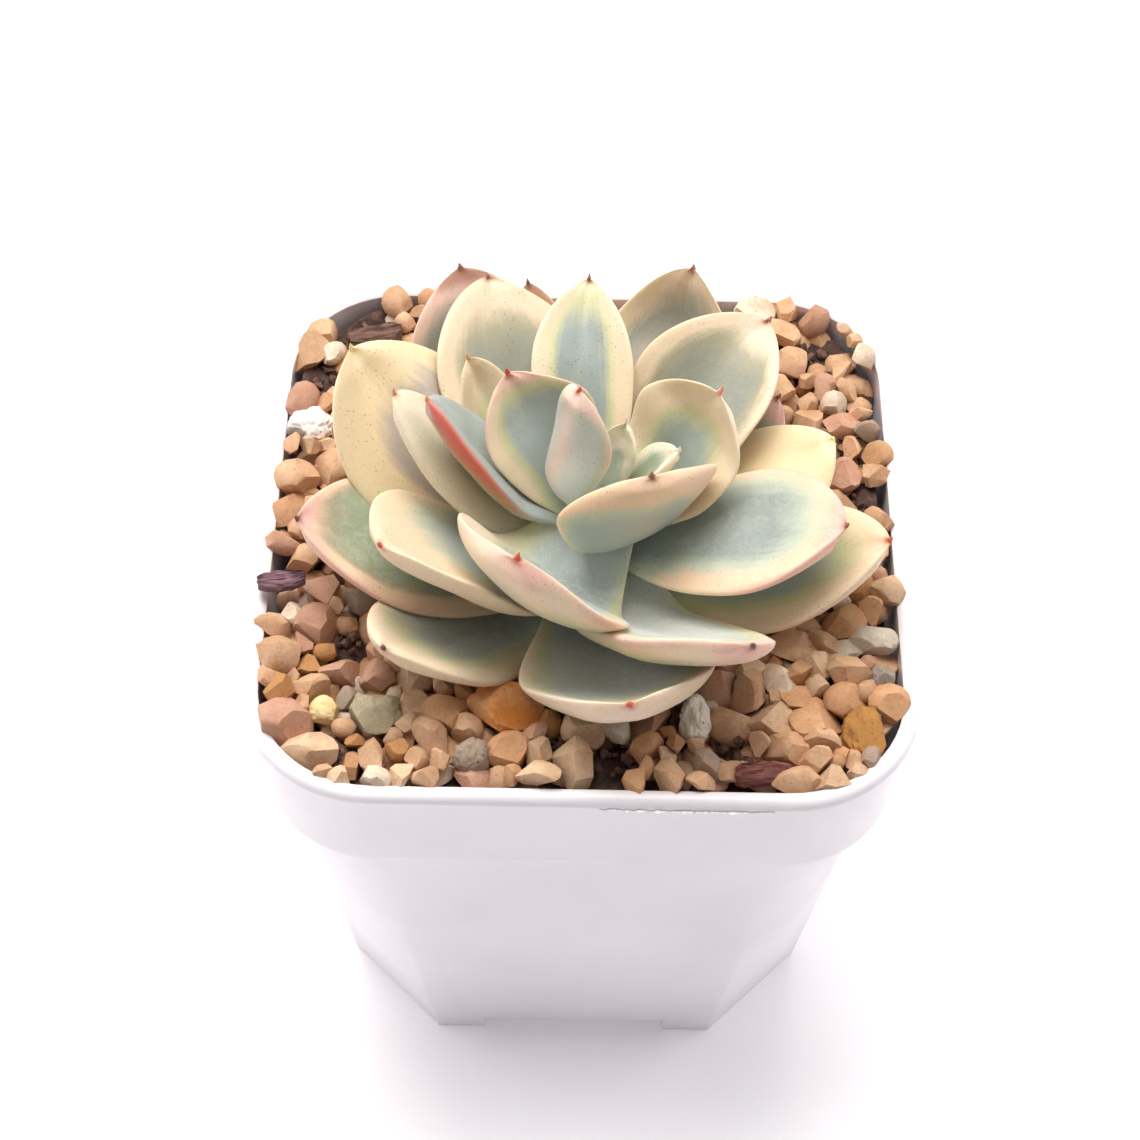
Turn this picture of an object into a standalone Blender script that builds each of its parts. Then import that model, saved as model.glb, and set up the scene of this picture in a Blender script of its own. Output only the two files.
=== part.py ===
"""Potted succulent: a variegated echeveria rosette in a 7 cm square plastic nursery pot.

Metres, +Z up.  The origin is the middle of the pot's foot plane, and the plant's front is -Y.
The rosette's leaves are separate bodies set round a short stem.  Soil fills the pot, a layer
of gravel dresses it, and a few larger stones and bark chips lie in that layer.
"""
import math

import bmesh
import bpy
import numpy as np

MM = 0.001
GAP = 0.3 * MM

# ---------------------------------------------------------------- driving dimensions
POT_WIDTH = 70.0 * MM            # over the rim
POT_HEIGHT = 66.0 * MM
POT_WALL = 1.0 * MM
RIM_LIP = 1.6 * MM               # width of the rolled rim
SKIRT_DEPTH = 14.5 * MM          # the straight band under the rim
RIM_CORNER = 14.0 * MM           # corner radius of the rim
BASE_WIDTH = 54.6 * MM
BASE_CHAMFER = 10.8 * MM         # leg of the flat corner at the foot
FOOT_HEIGHT = 3.0 * MM
NOTCH_WIDTH = 21.7 * MM          # gap between two feet
DRAIN_RADIUS = 3.2 * MM
FLOOR_THICK = 1.2 * MM

GRAVEL_TOP = POT_HEIGHT - 1.4 * MM    # mean level of the stones
GRAVEL_DEPTH = 4.0 * MM
DISH_MIDDLE = (0.0, 3.0 * MM)    # the gravel is dished under the rosette
DISH_RADIUS = 28.0 * MM
DISH_DEPTH = 10.4 * MM
PEBBLE_ROWS = 20                 # either side of the middle: enough for twice this width
LAYOUT_HALF = 33.4 * MM          # half width of the opening the stones were laid out in
NEAR_WALL = 60.0                 # hundredths of it; stones further out go with the wall

STEM_FOOT = np.array([0.7 * MM, 0.5 * MM, GRAVEL_TOP - 20.6 * MM])
STEM_TIP = np.array([2.0 * MM, -2.6 * MM, GRAVEL_TOP + 8.9 * MM])
STEM_FOOT_RADIUS = 3.6 * MM
STEM_TIP_RADIUS = 0.8 * MM

LEAF_BASE_WIDTH = 4.4 * MM       # where a leaf joins the stem
LEAF_WIDEST = 0.6                # share of the length at which it is widest
LEAF_CLEARANCE = 0.45 * MM
MUCRO = 1.2 * MM                 # the small point on a leaf's tip
LEAF_STATIONS = (0, 0.06, 0.14, 0.24, 0.34, 0.44, 0.54, 0.64, 0.74, 0.83, 0.90, 0.95, 0.98)
RING = 12                        # points round a leaf

# The leaves from the heart outwards.  Heights and sizes in millimetres, angles in degrees.
# base: height on the stem over the mean gravel; azimuth: 0 is +X, 90 is the back; seat: how
# far round the stem from its azimuth the leaf is joined; rise: slope at the base; curl: how
# much steeper the tip is; sweep: turn of the azimuth to the tip; roll: turn about the leaf's
# own line, which grows towards the tip; turn: the same, all along it; cup: how far the
# margins stand above the middle, as a share of the half width.
LEAF_TABLE = """
name        base  azimuth  seat  rise  curl  length  width  thick  roll    cup  sweep  turn
heart_a      9.4     62      0    66     0     8.0    4.5    1.2     0   0.30      0     0
heart_b      8.8      8      0    46     5     9.5    6.0    1.5   -20   0.35      0     0
heart_c      8.0    135     95    76    14    17.5    9.5    2.6    25   0.25      0    55
inner_a      6.8    145      0    42    25    17.5   12.5    2.2   -30   0.35      0     0
inner_b      6.6    308      0    52    34    16.0   18.0    2.4   -12   0.15     -8     0
inner_c      5.8     24      0    48     8    18.0   14.5    2.4    22   0.25      0     0
inner_d      5.4    172      0    35    26    23.5   10.0    2.4    25   0.20      5     0
inner_e      4.4    145      0    34    25    21.5    8.5    2.0     0   0.15      0     0
inner_f      4.4    169      0    24    32    25.5   11.5    2.6    15  -0.10     -3     0
inner_g      7.2    236     40     6    86    26.5   20.5    2.8   -20   0.20     18     0
middle_a     3.8    -19      0    20    15    27.0   17.5    3.0     0   0.05      0     0
middle_b     3.0    103      0    28    -5    26.5   11.0    2.4    -5   0.35    -20     0
middle_c     3.0    286      0    12    42    32.0   17.0    2.8   -38   0.10     33     0
middle_d     2.0    126      0    24    -4    30.0   18.5    2.6    15   0.10    -22     0
middle_e     2.8    206      0    24    18    28.0   19.5    2.8     8   0.20     12     0
middle_f     1.4     54      0    28   -14    28.5   15.0    2.8    10   0.40     -8     0
middle_g     0.8    162      0    18    40    32.5   19.5    2.8   -10  -0.10    -12     0
outer_a     -0.2     14      0    12    28    26.0   15.5    2.4     0  -0.10      5     0
outer_b     -0.6    -19      0    10    34    31.5   16.5    2.8     0   0.05     10     0
outer_c      0.0    276      0     6    50    31.0   20.0    2.8     5   0.25      0     0
outer_d     -1.0    192      0    12    30    32.5   17.0    2.8    -5   0.15      0     0
outer_e     -1.0     77      0    23    18    31.0   17.5    2.4   -10   0.40    -15     0
outer_f     -1.2    219      0    12    30    31.5   15.5    2.8    -3   0.05     16     0
outer_g     -1.6    127      0    20    24    33.0   20.0    2.4   -12   0.25    -15     0
outer_h     -1.8     40      0    12    12    24.5   14.0    2.2     0   0.30      0     0
outer_i     -2.0    104      0    20    10    30.0   11.0    1.6     0   0.20      4     0
"""

# Larger stones in the gravel and bark chips.  Right and back: place from the middle, in
# hundredths of the layout's half width; rx, ry, rz: half sizes (mm); turn (degrees);
# lift: the height of the middle over the mean gravel there (mm).  What lies out near the
# wall keeps its distance from the wall.
STONE_TABLE = """
name              right   back   rx   ry   rz   turn  lift
stone_orange      -24.0  -69.0  4.2  2.8  2.0    -20   0.4
stone_pumice       34.5  -73.5  3.0  1.5  1.8     75   0.4
stone_speckled    -63.0  -72.0  3.0  2.2  1.7    -50   0.4
stone_grey        -33.0  -87.0  2.1  2.0  1.6     20   0.4
stone_brown        87.0  -76.5  3.2  2.1  1.9     70   0.4
stone_knobbly     -91.5   40.5  2.5  2.3  1.8     10   0.4
stone_pale         91.5  -42.0  2.6  1.9  1.6      5   0.4
stone_tan          92.0   -4.5  2.0  3.4  1.8      5   0.4
stone_ash          93.5  -56.5  1.3  2.0  1.5      0   0.4
stone_straw       -78.0  -72.0  1.8  1.6  1.5     30   0.4
"""
CHIP_TABLE = """
name              right   back   rx   ry   rz   turn  lift
bark_purple       -94.5  -28.5  2.7  1.3  0.9     10   2.8
bark_maroon        55.5  -91.5  3.2  1.5  1.1      5   0.4
bark_brown        -72.0   81.0  3.4  1.6  1.1     15   0.4
"""

COLOURS = {
    "pot": (0.93, 0.92, 0.94),
    "soil": (0.045, 0.028, 0.022),
    "gravel": (0.62, 0.42, 0.27),
    "stem": (0.30, 0.36, 0.22),
    "leaf": (0.60, 0.67, 0.52),
    "stone_orange": (0.60, 0.28, 0.10),
    "stone_pumice": (0.86, 0.82, 0.76),
    "stone_speckled": (0.50, 0.47, 0.38),
    "stone_grey": (0.48, 0.43, 0.39),
    "stone_brown": (0.48, 0.31, 0.16),
    "stone_knobbly": (0.88, 0.85, 0.82),
    "stone_pale": (0.74, 0.70, 0.62),
    "stone_tan": (0.66, 0.44, 0.28),
    "stone_ash": (0.45, 0.43, 0.42),
    "stone_straw": (0.76, 0.66, 0.42),
    "bark_purple": (0.16, 0.08, 0.10),
    "bark_maroon": (0.17, 0.06, 0.05),
    "bark_brown": (0.11, 0.06, 0.04),
}


# ---------------------------------------------------------------- scene
for old in list(bpy.data.objects):
    bpy.data.objects.remove(old, do_unlink=True)

model = bpy.data.collections.new("potted_succulent")
cutters = bpy.data.collections.new("cutters")
bpy.context.scene.collection.children.link(model)
bpy.context.scene.collection.children.link(cutters)


def table_rows(text):
    """The rows of one of the tables above, as dictionaries."""
    lines = text.strip().splitlines()
    heads = lines[0].split()
    rows = []
    for line in lines[1:]:
        cells = line.split()
        row = {head: float(cell) for head, cell in zip(heads[1:], cells[1:])}
        row["name"] = cells[0]
        rows.append(row)
    return rows


def material(name, colour, roughness):
    made = bpy.data.materials.new(name)
    made.use_nodes = True
    shader = made.node_tree.nodes["Principled BSDF"]
    shader.inputs["Base Color"].default_value = (*colour, 1.0)
    shader.inputs["Roughness"].default_value = roughness
    shader.inputs["Metallic"].default_value = 0.0
    return made


def place(name, bm, collection, colour=None, roughness=0.6, location=(0, 0, 0), smooth=40):
    """Makes an object of a bmesh whose points are in world space, with its origin at location."""
    bmesh.ops.translate(bm, verts=bm.verts, vec=[-c for c in location])
    bmesh.ops.recalc_face_normals(bm, faces=bm.faces)
    mesh = bpy.data.meshes.new(name)
    bm.to_mesh(mesh)
    bm.free()
    mesh.shade_smooth()
    mesh.set_sharp_from_angle(angle=math.radians(smooth))
    made = bpy.data.objects.new(name, mesh)
    made.location = location
    collection.objects.link(made)
    if colour is not None:
        mesh.materials.append(material(name, colour, roughness))
    return made


def as_cutter(made):
    made.hide_render = True
    made.display_type = "WIRE"


def cut(target, tool):
    """Takes tool away from target."""
    boolean = target.modifiers.new("cut_" + tool.name, "BOOLEAN")
    boolean.operation = "DIFFERENCE"
    boolean.solver = "EXACT"
    boolean.object = tool


def loft(rings, cap_first=True, cap_last=True):
    """A skin over rings of equal point counts, closed at its ends."""
    bm = bmesh.new()
    made = [[bm.verts.new(tuple(point)) for point in ring] for ring in rings]
    count = len(made[0])
    for low, high in zip(made, made[1:]):
        for k in range(count):
            after = (k + 1) % count
            bm.faces.new((low[k], low[after], high[after], high[k]))
    if cap_first:
        bm.faces.new(made[0][::-1])
    if cap_last:
        bm.faces.new(made[-1])
    return bm


# ---------------------------------------------------------------- pot
CORNER_STEPS = 7
SIDE_STEPS = 5


def square_ring(half, corner, flat, z):
    """A square outline whose corners go from round (flat 0) to a 45-degree cut (flat 1)."""
    ring = []
    for side in range(4):
        turn = math.radians(90 * side)
        for step in range(CORNER_STEPS + 1):
            share = step / CORNER_STEPS
            angle = math.radians(90 * share)
            round_x = half - corner + corner * math.cos(angle)
            round_y = half - corner + corner * math.sin(angle)
            cut_x = half - corner * share
            cut_y = half - corner * (1 - share)
            x = round_x + (cut_x - round_x) * flat
            y = round_y + (cut_y - round_y) * flat
            ring.append((x * math.cos(turn) - y * math.sin(turn),
                         x * math.sin(turn) + y * math.cos(turn), z))
        for step in range(1, SIDE_STEPS):
            y = half
            x = (half - corner) * (1 - 2 * step / SIDE_STEPS)
            ring.append((x * math.cos(turn) - y * math.sin(turn),
                         x * math.sin(turn) + y * math.cos(turn), z))
    return ring


RIM_HALF = POT_WIDTH / 2
BASE_HALF = BASE_WIDTH / 2
LEDGE_Z = POT_HEIGHT - SKIRT_DEPTH
SKIRT_HALF = RIM_HALF - 1.3 * MM       # at the skirt's lower edge
BODY_HALF = SKIRT_HALF - 0.8 * MM      # just below the ledge
OPENING_HALF = RIM_HALF - RIM_LIP
LAYER_HALF = SKIRT_HALF - POT_WALL - 2 * GAP    # soil and gravel inside the skirt
LAYER_CORNER = RIM_CORNER - 2.2 * MM
FLOOR_TOP = FOOT_HEIGHT + FLOOR_THICK


def body_ring(z, inset=0.0):
    """The tapering body under the skirt, whose corner flats widen downwards."""
    share = z / LEDGE_Z
    half = BASE_HALF + (BODY_HALF - BASE_HALF) * share - inset
    corner = BASE_CHAMFER + (RIM_CORNER - 1.4 * MM - BASE_CHAMFER) * share - 0.4 * inset
    return square_ring(half, corner, 1.0 - 0.85 * share, z)


def pot():
    """One moulded shell: rolled rim, skirt, stepped and tapering body, four feet, five drains."""
    wall = POT_WALL
    rings = [body_ring(z) for z in np.linspace(0, LEDGE_Z - 0.3 * MM, 6)]
    corner = RIM_CORNER
    rings += [
        square_ring(SKIRT_HALF, corner - 0.9 * MM, 0, LEDGE_Z),
        square_ring(SKIRT_HALF + 0.1 * MM, corner - 0.8 * MM, 0, LEDGE_Z + 0.6 * MM),
        square_ring(RIM_HALF - 0.6 * MM, corner - 0.4 * MM, 0, POT_HEIGHT - 2.2 * MM),
        square_ring(RIM_HALF - 0.1 * MM, corner, 0, POT_HEIGHT - 1.6 * MM),
        square_ring(RIM_HALF, corner, 0, POT_HEIGHT - 0.9 * MM),
        square_ring(RIM_HALF - 0.25 * MM, corner - 0.2 * MM, 0, POT_HEIGHT - 0.25 * MM),
        square_ring(RIM_HALF - 0.8 * MM, corner - 0.6 * MM, 0, POT_HEIGHT),
        square_ring(OPENING_HALF + 0.1 * MM, corner - 1.2 * MM, 0, POT_HEIGHT - 0.4 * MM),
        square_ring(OPENING_HALF - 0.1 * MM, corner - 1.4 * MM, 0, POT_HEIGHT - 1.4 * MM),
        square_ring(SKIRT_HALF - wall - 0.1 * MM, corner - 1.8 * MM, 0, LEDGE_Z + wall),
    ]
    rings += [body_ring(z, wall) for z in np.linspace(LEDGE_Z - 0.5 * MM, FLOOR_TOP, 6)]
    made = place("pot", loft(rings), model, COLOURS["pot"], 0.35, smooth=30)

    for name, turn in (("notch_x", 0), ("notch_y", 90)):
        bm = bmesh.new()
        bmesh.ops.create_cube(bm, size=1.0)
        bmesh.ops.scale(bm, vec=(2 * POT_WIDTH, NOTCH_WIDTH, 2 * FOOT_HEIGHT), verts=bm.verts)
        channel = place(name, bm, cutters)
        channel.rotation_euler = (0, 0, math.radians(turn))
        as_cutter(channel)
        cut(made, channel)

    spread = 0.3 * BASE_WIDTH
    for index, (x, y) in enumerate(((0, 0), (1, 0), (-1, 0), (0, 1), (0, -1))):
        bm = bmesh.new()
        bmesh.ops.create_cone(bm, cap_ends=True, segments=24, radius1=DRAIN_RADIUS,
                              radius2=DRAIN_RADIUS, depth=4 * FLOOR_THICK)
        middle = (x * spread, y * spread, FOOT_HEIGHT + FLOOR_THICK / 2)
        bmesh.ops.translate(bm, verts=bm.verts, vec=middle)
        hole = place("drain_%d" % index, bm, cutters)
        as_cutter(hole)
        cut(made, hole)
    return made


# ---------------------------------------------------------------- soil and gravel
def gravel_level(x, y):
    """The mean height of the stones, which dips towards the stem."""
    away = math.hypot(x - DISH_MIDDLE[0], y - DISH_MIDDLE[1]) / DISH_RADIUS
    return GRAVEL_TOP - DISH_DEPTH * max(0.0, 1.0 - away ** 2) ** 1.3


def pebble_tops(spacing=3.7 * MM, seed=7):
    """Places, radii and heights of the pebbles that show at the surface."""
    rng = np.random.default_rng(seed)
    pebbles = []
    for i in range(-PEBBLE_ROWS, PEBBLE_ROWS):
        for j in range(-PEBBLE_ROWS, PEBBLE_ROWS):
            x = (i + 0.5 * (j % 2) + rng.uniform(-0.25, 0.25)) * spacing
            y = (j * 0.87 + rng.uniform(-0.25, 0.25)) * spacing
            pebbles.append((x, y, spacing * rng.uniform(0.48, 0.62), rng.uniform(0.9, 1.5) * MM))
    return np.array(pebbles)


PEBBLES = pebble_tops()


def gravel_surface(x, y):
    """The stones' tops: each pebble is a low dome."""
    away = np.hypot(PEBBLES[:, 0] - x, PEBBLES[:, 1] - y) / PEBBLES[:, 2]
    domes = PEBBLES[:, 3] * np.sqrt(np.clip(1.0 - away ** 2, 0.0, 1.0))
    return gravel_level(x, y) - 0.7 * MM + float(domes.max())


def sheet_rings(half, corner, surface, steps):
    """Rings that shrink from the pot's wall to inside the stem's hole, each on a surface."""
    outline = square_ring(half, corner, 0, 0)
    shares = [1.0 - step / steps for step in range(steps)]
    shares.append(0.25 * STEM_FOOT_RADIUS / half)
    rings = []
    for share in shares:
        rings.append([(x * share, y * share, surface(x * share, y * share))
                      for x, y, _ in outline])
    return rings


def stem_hole(name, radius_gap):
    """A cutter along the stem, a little wider than it."""
    bm = stem_body(radius_gap, overshoot=0.3)
    tool = place(name, bm, cutters)
    as_cutter(tool)
    return tool


def soil():
    """Potting soil from the pot's floor up to the gravel, with a hole for the stem."""
    inner = POT_WALL + GAP

    def top(x, y):
        return gravel_level(x, y) - GRAVEL_DEPTH - 3 * GAP

    base = [body_ring(z, inner) for z in (FLOOR_TOP + GAP, LEDGE_Z / 2, LEDGE_Z - 1.2 * MM)]
    base.append(square_ring(LAYER_HALF, LAYER_CORNER, 0, LEDGE_Z + inner + 0.4 * MM))
    crown = sheet_rings(LAYER_HALF, LAYER_CORNER, top, 10)
    made = place("soil", loft(base + crown), model, COLOURS["soil"], 0.95, smooth=50)
    cut(made, stem_hole("stem_hole_soil", GAP))
    return made


def gravel_bed():
    """The layer of small stones, as one knobbly sheet that lies on the soil."""

    def under(x, y):
        return gravel_level(x, y) - GRAVEL_DEPTH

    low = sheet_rings(LAYER_HALF, LAYER_CORNER, under, 10)
    high = sheet_rings(OPENING_HALF - 0.3 * MM - GAP, RIM_CORNER - 1.6 * MM, gravel_surface, 18)
    rings = low[::-1] + high
    made = place("gravel_bed", loft(rings), model, COLOURS["gravel"], 0.9, smooth=25)
    cut(made, stem_hole("stem_hole_gravel", GAP))
    return made


def stone_place(row):
    """Where a stone lies; near a wall it keeps its distance from that wall."""
    found = []
    for share in (row["right"], row["back"]):
        reach = share / 100 * LAYOUT_HALF
        if abs(share) > NEAR_WALL:
            reach += math.copysign(1.0, share) * (OPENING_HALF - LAYOUT_HALF)
        found.append(reach)
    return found


def stone_body(row, grow=0.0, rough=0.12, seed=0):
    """An angular rounded stone: a ball squashed to the row's sizes and knocked about."""
    rng = np.random.default_rng(seed)
    bm = bmesh.new()
    bmesh.ops.create_icosphere(bm, subdivisions=2, radius=1.0)
    facets = rng.normal(size=(7, 3))
    facets /= np.linalg.norm(facets, axis=1)[:, None]
    depth = rng.uniform(0.72, 0.92, 7)
    turn = math.radians(row["turn"])
    place_x, place_y = stone_place(row)
    z_middle = gravel_level(place_x, place_y) + row["lift"] * MM
    for vert in bm.verts:
        point = np.array(vert.co)
        for facet, limit in zip(facets, depth):
            reach = float(point @ facet)
            if reach > limit:
                point = point - facet * (reach - limit) * 0.8
        x = point[0] * (row["rx"] * MM + grow)
        y = point[1] * (row["ry"] * MM + grow)
        vert.co = (place_x + x * math.cos(turn) - y * math.sin(turn),
                   place_y + x * math.sin(turn) + y * math.cos(turn),
                   z_middle + point[2] * (row["rz"] * MM + grow))
    return bm


def stones(bed):
    """The larger stones and bark chips, each in a socket in the gravel."""
    for index, row in enumerate(table_rows(STONE_TABLE) + table_rows(CHIP_TABLE)):
        name = row["name"]
        where = (*stone_place(row), gravel_level(*stone_place(row)))
        place(name, stone_body(row, seed=index), model, COLOURS[name], 0.9, where, smooth=25)
        socket = place("socket_" + name, stone_body(row, 1.3 * GAP, seed=index), cutters)
        as_cutter(socket)
        cut(bed, socket)


# ---------------------------------------------------------------- stem
def stem_share(z):
    return (z - STEM_FOOT[2]) / (STEM_TIP[2] - STEM_FOOT[2])


def stem_point(z):
    return STEM_FOOT + (STEM_TIP - STEM_FOOT) * stem_share(z)


def stem_radius(z):
    share = min(max(stem_share(z), 0.0), 1.0)
    return STEM_FOOT_RADIUS + (STEM_TIP_RADIUS - STEM_FOOT_RADIUS) * share


def stem_body(grow=0.0, overshoot=0.0):
    """The stem: a slightly leaning cone with a rounded foot in the soil."""
    rings = []
    for share in (0.0, 0.03, 0.1, 0.3, 0.5, 0.7, 0.9, 1.0 + overshoot):
        z = STEM_FOOT[2] + (STEM_TIP[2] - STEM_FOOT[2]) * share
        middle = stem_point(z)
        radius = stem_radius(z) * (0.55 if share == 0.0 else 0.85 if share == 0.03 else 1.0)
        radius = radius + grow
        z = z - (grow if share == 0.0 else 0.0)
        rings.append([(middle[0] + radius * math.cos(math.radians(15 * k)),
                       middle[1] + radius * math.sin(math.radians(15 * k)), z) for k in range(24)])
    return loft(rings)


def stem():
    return place("stem", stem_body(), model, COLOURS["stem"], 0.6, tuple(STEM_FOOT), smooth=40)


# ---------------------------------------------------------------- leaves
class Leaf:
    """A leaf as stations along its midline: middle, directions, half width, thickness, cup."""

    def __init__(self, row):
        self.name = row["name"]
        self.length = row["length"] * MM
        width = row["width"] * MM
        t = np.array(LEAF_STATIONS)
        slope = np.radians(row["rise"] + row["curl"] * t ** 1.6)
        heading = np.radians(row["azimuth"] + row["sweep"] * t)
        self.along = np.stack([np.cos(slope) * np.cos(heading),
                               np.cos(slope) * np.sin(heading), np.sin(slope)], 1)
        first = heading[0] + math.radians(row["seat"])
        z = GRAVEL_TOP + row["base"] * MM
        out = stem_radius(z) + LEAF_CLEARANCE
        base = stem_point(z) + out * np.array([math.cos(first), math.sin(first), 0.0])
        steps = (self.along[1:] + self.along[:-1]) / 2 * np.diff(t)[:, None] * self.length
        self.middle = base + np.concatenate([np.zeros((1, 3)), np.cumsum(steps, 0)])
        level = np.stack([-np.sin(heading), np.cos(heading), np.zeros(len(t))], 1)
        above = np.cross(self.along, level)
        roll = np.radians(row["turn"] + row["roll"] * (0.3 + 0.7 * t))[:, None]
        self.side = np.cos(roll) * level + np.sin(roll) * above
        self.up = np.cos(roll) * above - np.sin(roll) * level
        base_share = min(0.4, LEAF_BASE_WIDTH / width)
        swell = base_share + (1 - base_share) * np.sin(
            math.pi / 2 * np.clip(t / LEAF_WIDEST, 0, 1)) ** 1.2
        close = np.cos(math.pi / 2 * np.clip((t - LEAF_WIDEST) / (1 - LEAF_WIDEST), 0, 1)) ** 0.75
        self.half = width / 2 * np.where(t < LEAF_WIDEST, swell, close)
        plump = 0.42 + 0.58 * np.sin(math.pi * np.clip(0.95 * t, 0, 1)) ** 0.8
        self.thick = row["thick"] * MM * plump
        self.cup = row["cup"] * self.half * (0.35 + 0.65 * np.clip(t / 0.6, 0, 1))

    def height(self, station, across, upper):
        """How far the upper face or the underside lies above the midline; across is -1 to 1."""
        edge = np.clip(np.abs(across), 0, 1)
        margin = self.cup[station] * edge ** 2
        if upper:
            return margin + 0.15 * self.thick[station] * (1 - edge ** 2)
        return margin - 0.85 * self.thick[station] * (1 - edge ** 1.6)

    def face(self, upper, count=9):
        """Points over one face: count across, at every station."""
        across = np.linspace(-1, 1, count)
        rows = []
        for i in range(len(self.half)):
            height = self.height(i, across, upper)
            rows.append(self.middle[i] + self.side[i] * (self.half[i] * across)[:, None]
                        + self.up[i] * height[:, None])
        return np.array(rows)

    def locate(self, points):
        """For each point: its nearest station, how far along from it, across and above it."""
        offset = points[:, None, :] - self.middle[None]
        along = np.abs(np.einsum("pij,ij->pi", offset, self.along))
        away = np.linalg.norm(offset, axis=2)
        station = np.argmin(along + 0.25 * away, 1)
        nearest = offset[np.arange(len(points)), station]
        lengthwise = np.einsum("pj,pj->p", nearest, self.along[station])
        across = np.einsum("pj,pj->p", nearest, self.side[station]) / self.half[station]
        above = np.einsum("pj,pj->p", nearest, self.up[station])
        return station, lengthwise, across, above

    def rings(self):
        """Closed cross-sections from the base to just short of the tip."""
        angles = np.linspace(0, 2 * math.pi, RING, endpoint=False)
        across = np.cos(angles)
        made = []
        for i in range(len(self.half)):
            height = np.where(np.sin(angles) >= 0, self.height(i, across, True),
                              self.height(i, across, False))
            made.append(self.middle[i] + self.side[i] * (self.half[i] * across)[:, None]
                        + self.up[i] * height[:, None])
        return made


CONTACT_REACH = 2.2 * MM         # how far from a station a contact still counts as its own
DEEPEST = 3.2 * MM               # contacts deeper than this lie on the leaf's other side


def contact(lower, upper):
    """How far each station of the lower leaf must yield to the leaf above it."""
    push = np.zeros(len(lower.half))
    if np.linalg.norm(lower.middle[6] - upper.middle[6]) > lower.length + upper.length:
        return push
    tops = lower.face(True)
    owner = np.repeat(np.arange(len(push)), tops.shape[1])
    station, lengthwise, across, above = upper.locate(tops.reshape(-1, 3))
    depth = above - upper.height(station, across, False) + LEAF_CLEARANCE
    facing = np.clip(np.einsum("pj,pj->p", lower.up[owner], upper.up[station]), 0.5, 1.0)
    touch = (np.abs(lengthwise) < CONTACT_REACH) & (np.abs(across) < 1.06)
    touch &= (depth > 0) & (depth < DEEPEST)
    np.maximum.at(push, owner[touch], (depth / facing)[touch])

    undersides = upper.face(False).reshape(-1, 3)
    station, lengthwise, across, above = lower.locate(undersides)
    depth = lower.height(station, across, True) - above + LEAF_CLEARANCE
    touch = (np.abs(lengthwise) < CONTACT_REACH) & (np.abs(across) < 1.06)
    touch &= (depth > 0) & (depth < DEEPEST)
    np.maximum.at(push, station[touch], depth[touch])
    return push


def settle(leaves, rounds=8):
    """Lets each leaf yield, along its own underside's direction, to those nearer the heart."""
    for _ in range(rounds):
        for index, lower in enumerate(leaves):
            push = np.zeros(len(lower.half))
            for upper in leaves[:index]:
                push = np.maximum(push, contact(lower, upper))
            if push.max() == 0.0:
                continue
            for _ in range(3):
                beside = np.maximum(np.r_[push[0], push[:-1]], np.r_[push[1:], push[-1]])
                push = np.maximum(push, 0.6 * beside)
            eased = (np.r_[push[0], push[:-1]] + 2 * push + np.r_[push[1:], push[-1]]) / 4
            lower.middle = lower.middle - lower.up * (0.5 * np.maximum(eased, 0.9 * push))[:, None]


def leaf_body(leaf):
    """The leaf's skin: a loft over its sections, drawn to a point at the tip."""
    rings = leaf.rings()
    bm = loft(rings, cap_last=False)
    bm.verts.ensure_lookup_table()
    last = bm.verts[-RING:]
    reach = (1 - LEAF_STATIONS[-1]) * leaf.length + MUCRO * min(1.0, leaf.length / (20 * MM))
    tip = bm.verts.new(tuple(leaf.middle[-1] + leaf.along[-1] * reach))
    for k in range(RING):
        bm.faces.new((last[k], last[(k + 1) % RING], tip))
    return bm


def rosette():
    """All leaves, held by an empty at the stem's foot."""
    plant = bpy.data.objects.new("plant", None)
    plant.location = tuple(STEM_FOOT)
    model.objects.link(plant)
    leaves = [Leaf(row) for row in table_rows(LEAF_TABLE)]
    settle(leaves)
    made = []
    for leaf in leaves:
        body = place("leaf_" + leaf.name, leaf_body(leaf), model, COLOURS["leaf"], 0.45,
                     tuple(leaf.middle[0]), smooth=60)
        made.append(body)
    bpy.context.view_layer.update()
    for body in made + [bpy.data.objects["stem"]]:
        body.parent = plant
        body.matrix_parent_inverse = plant.matrix_world.inverted()
    return made


pot()
soil()
stones(gravel_bed())
stem()
rosette()
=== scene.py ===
import math

import bmesh
import bpy
import numpy as np
from mathutils import Matrix, Vector, noise


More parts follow.
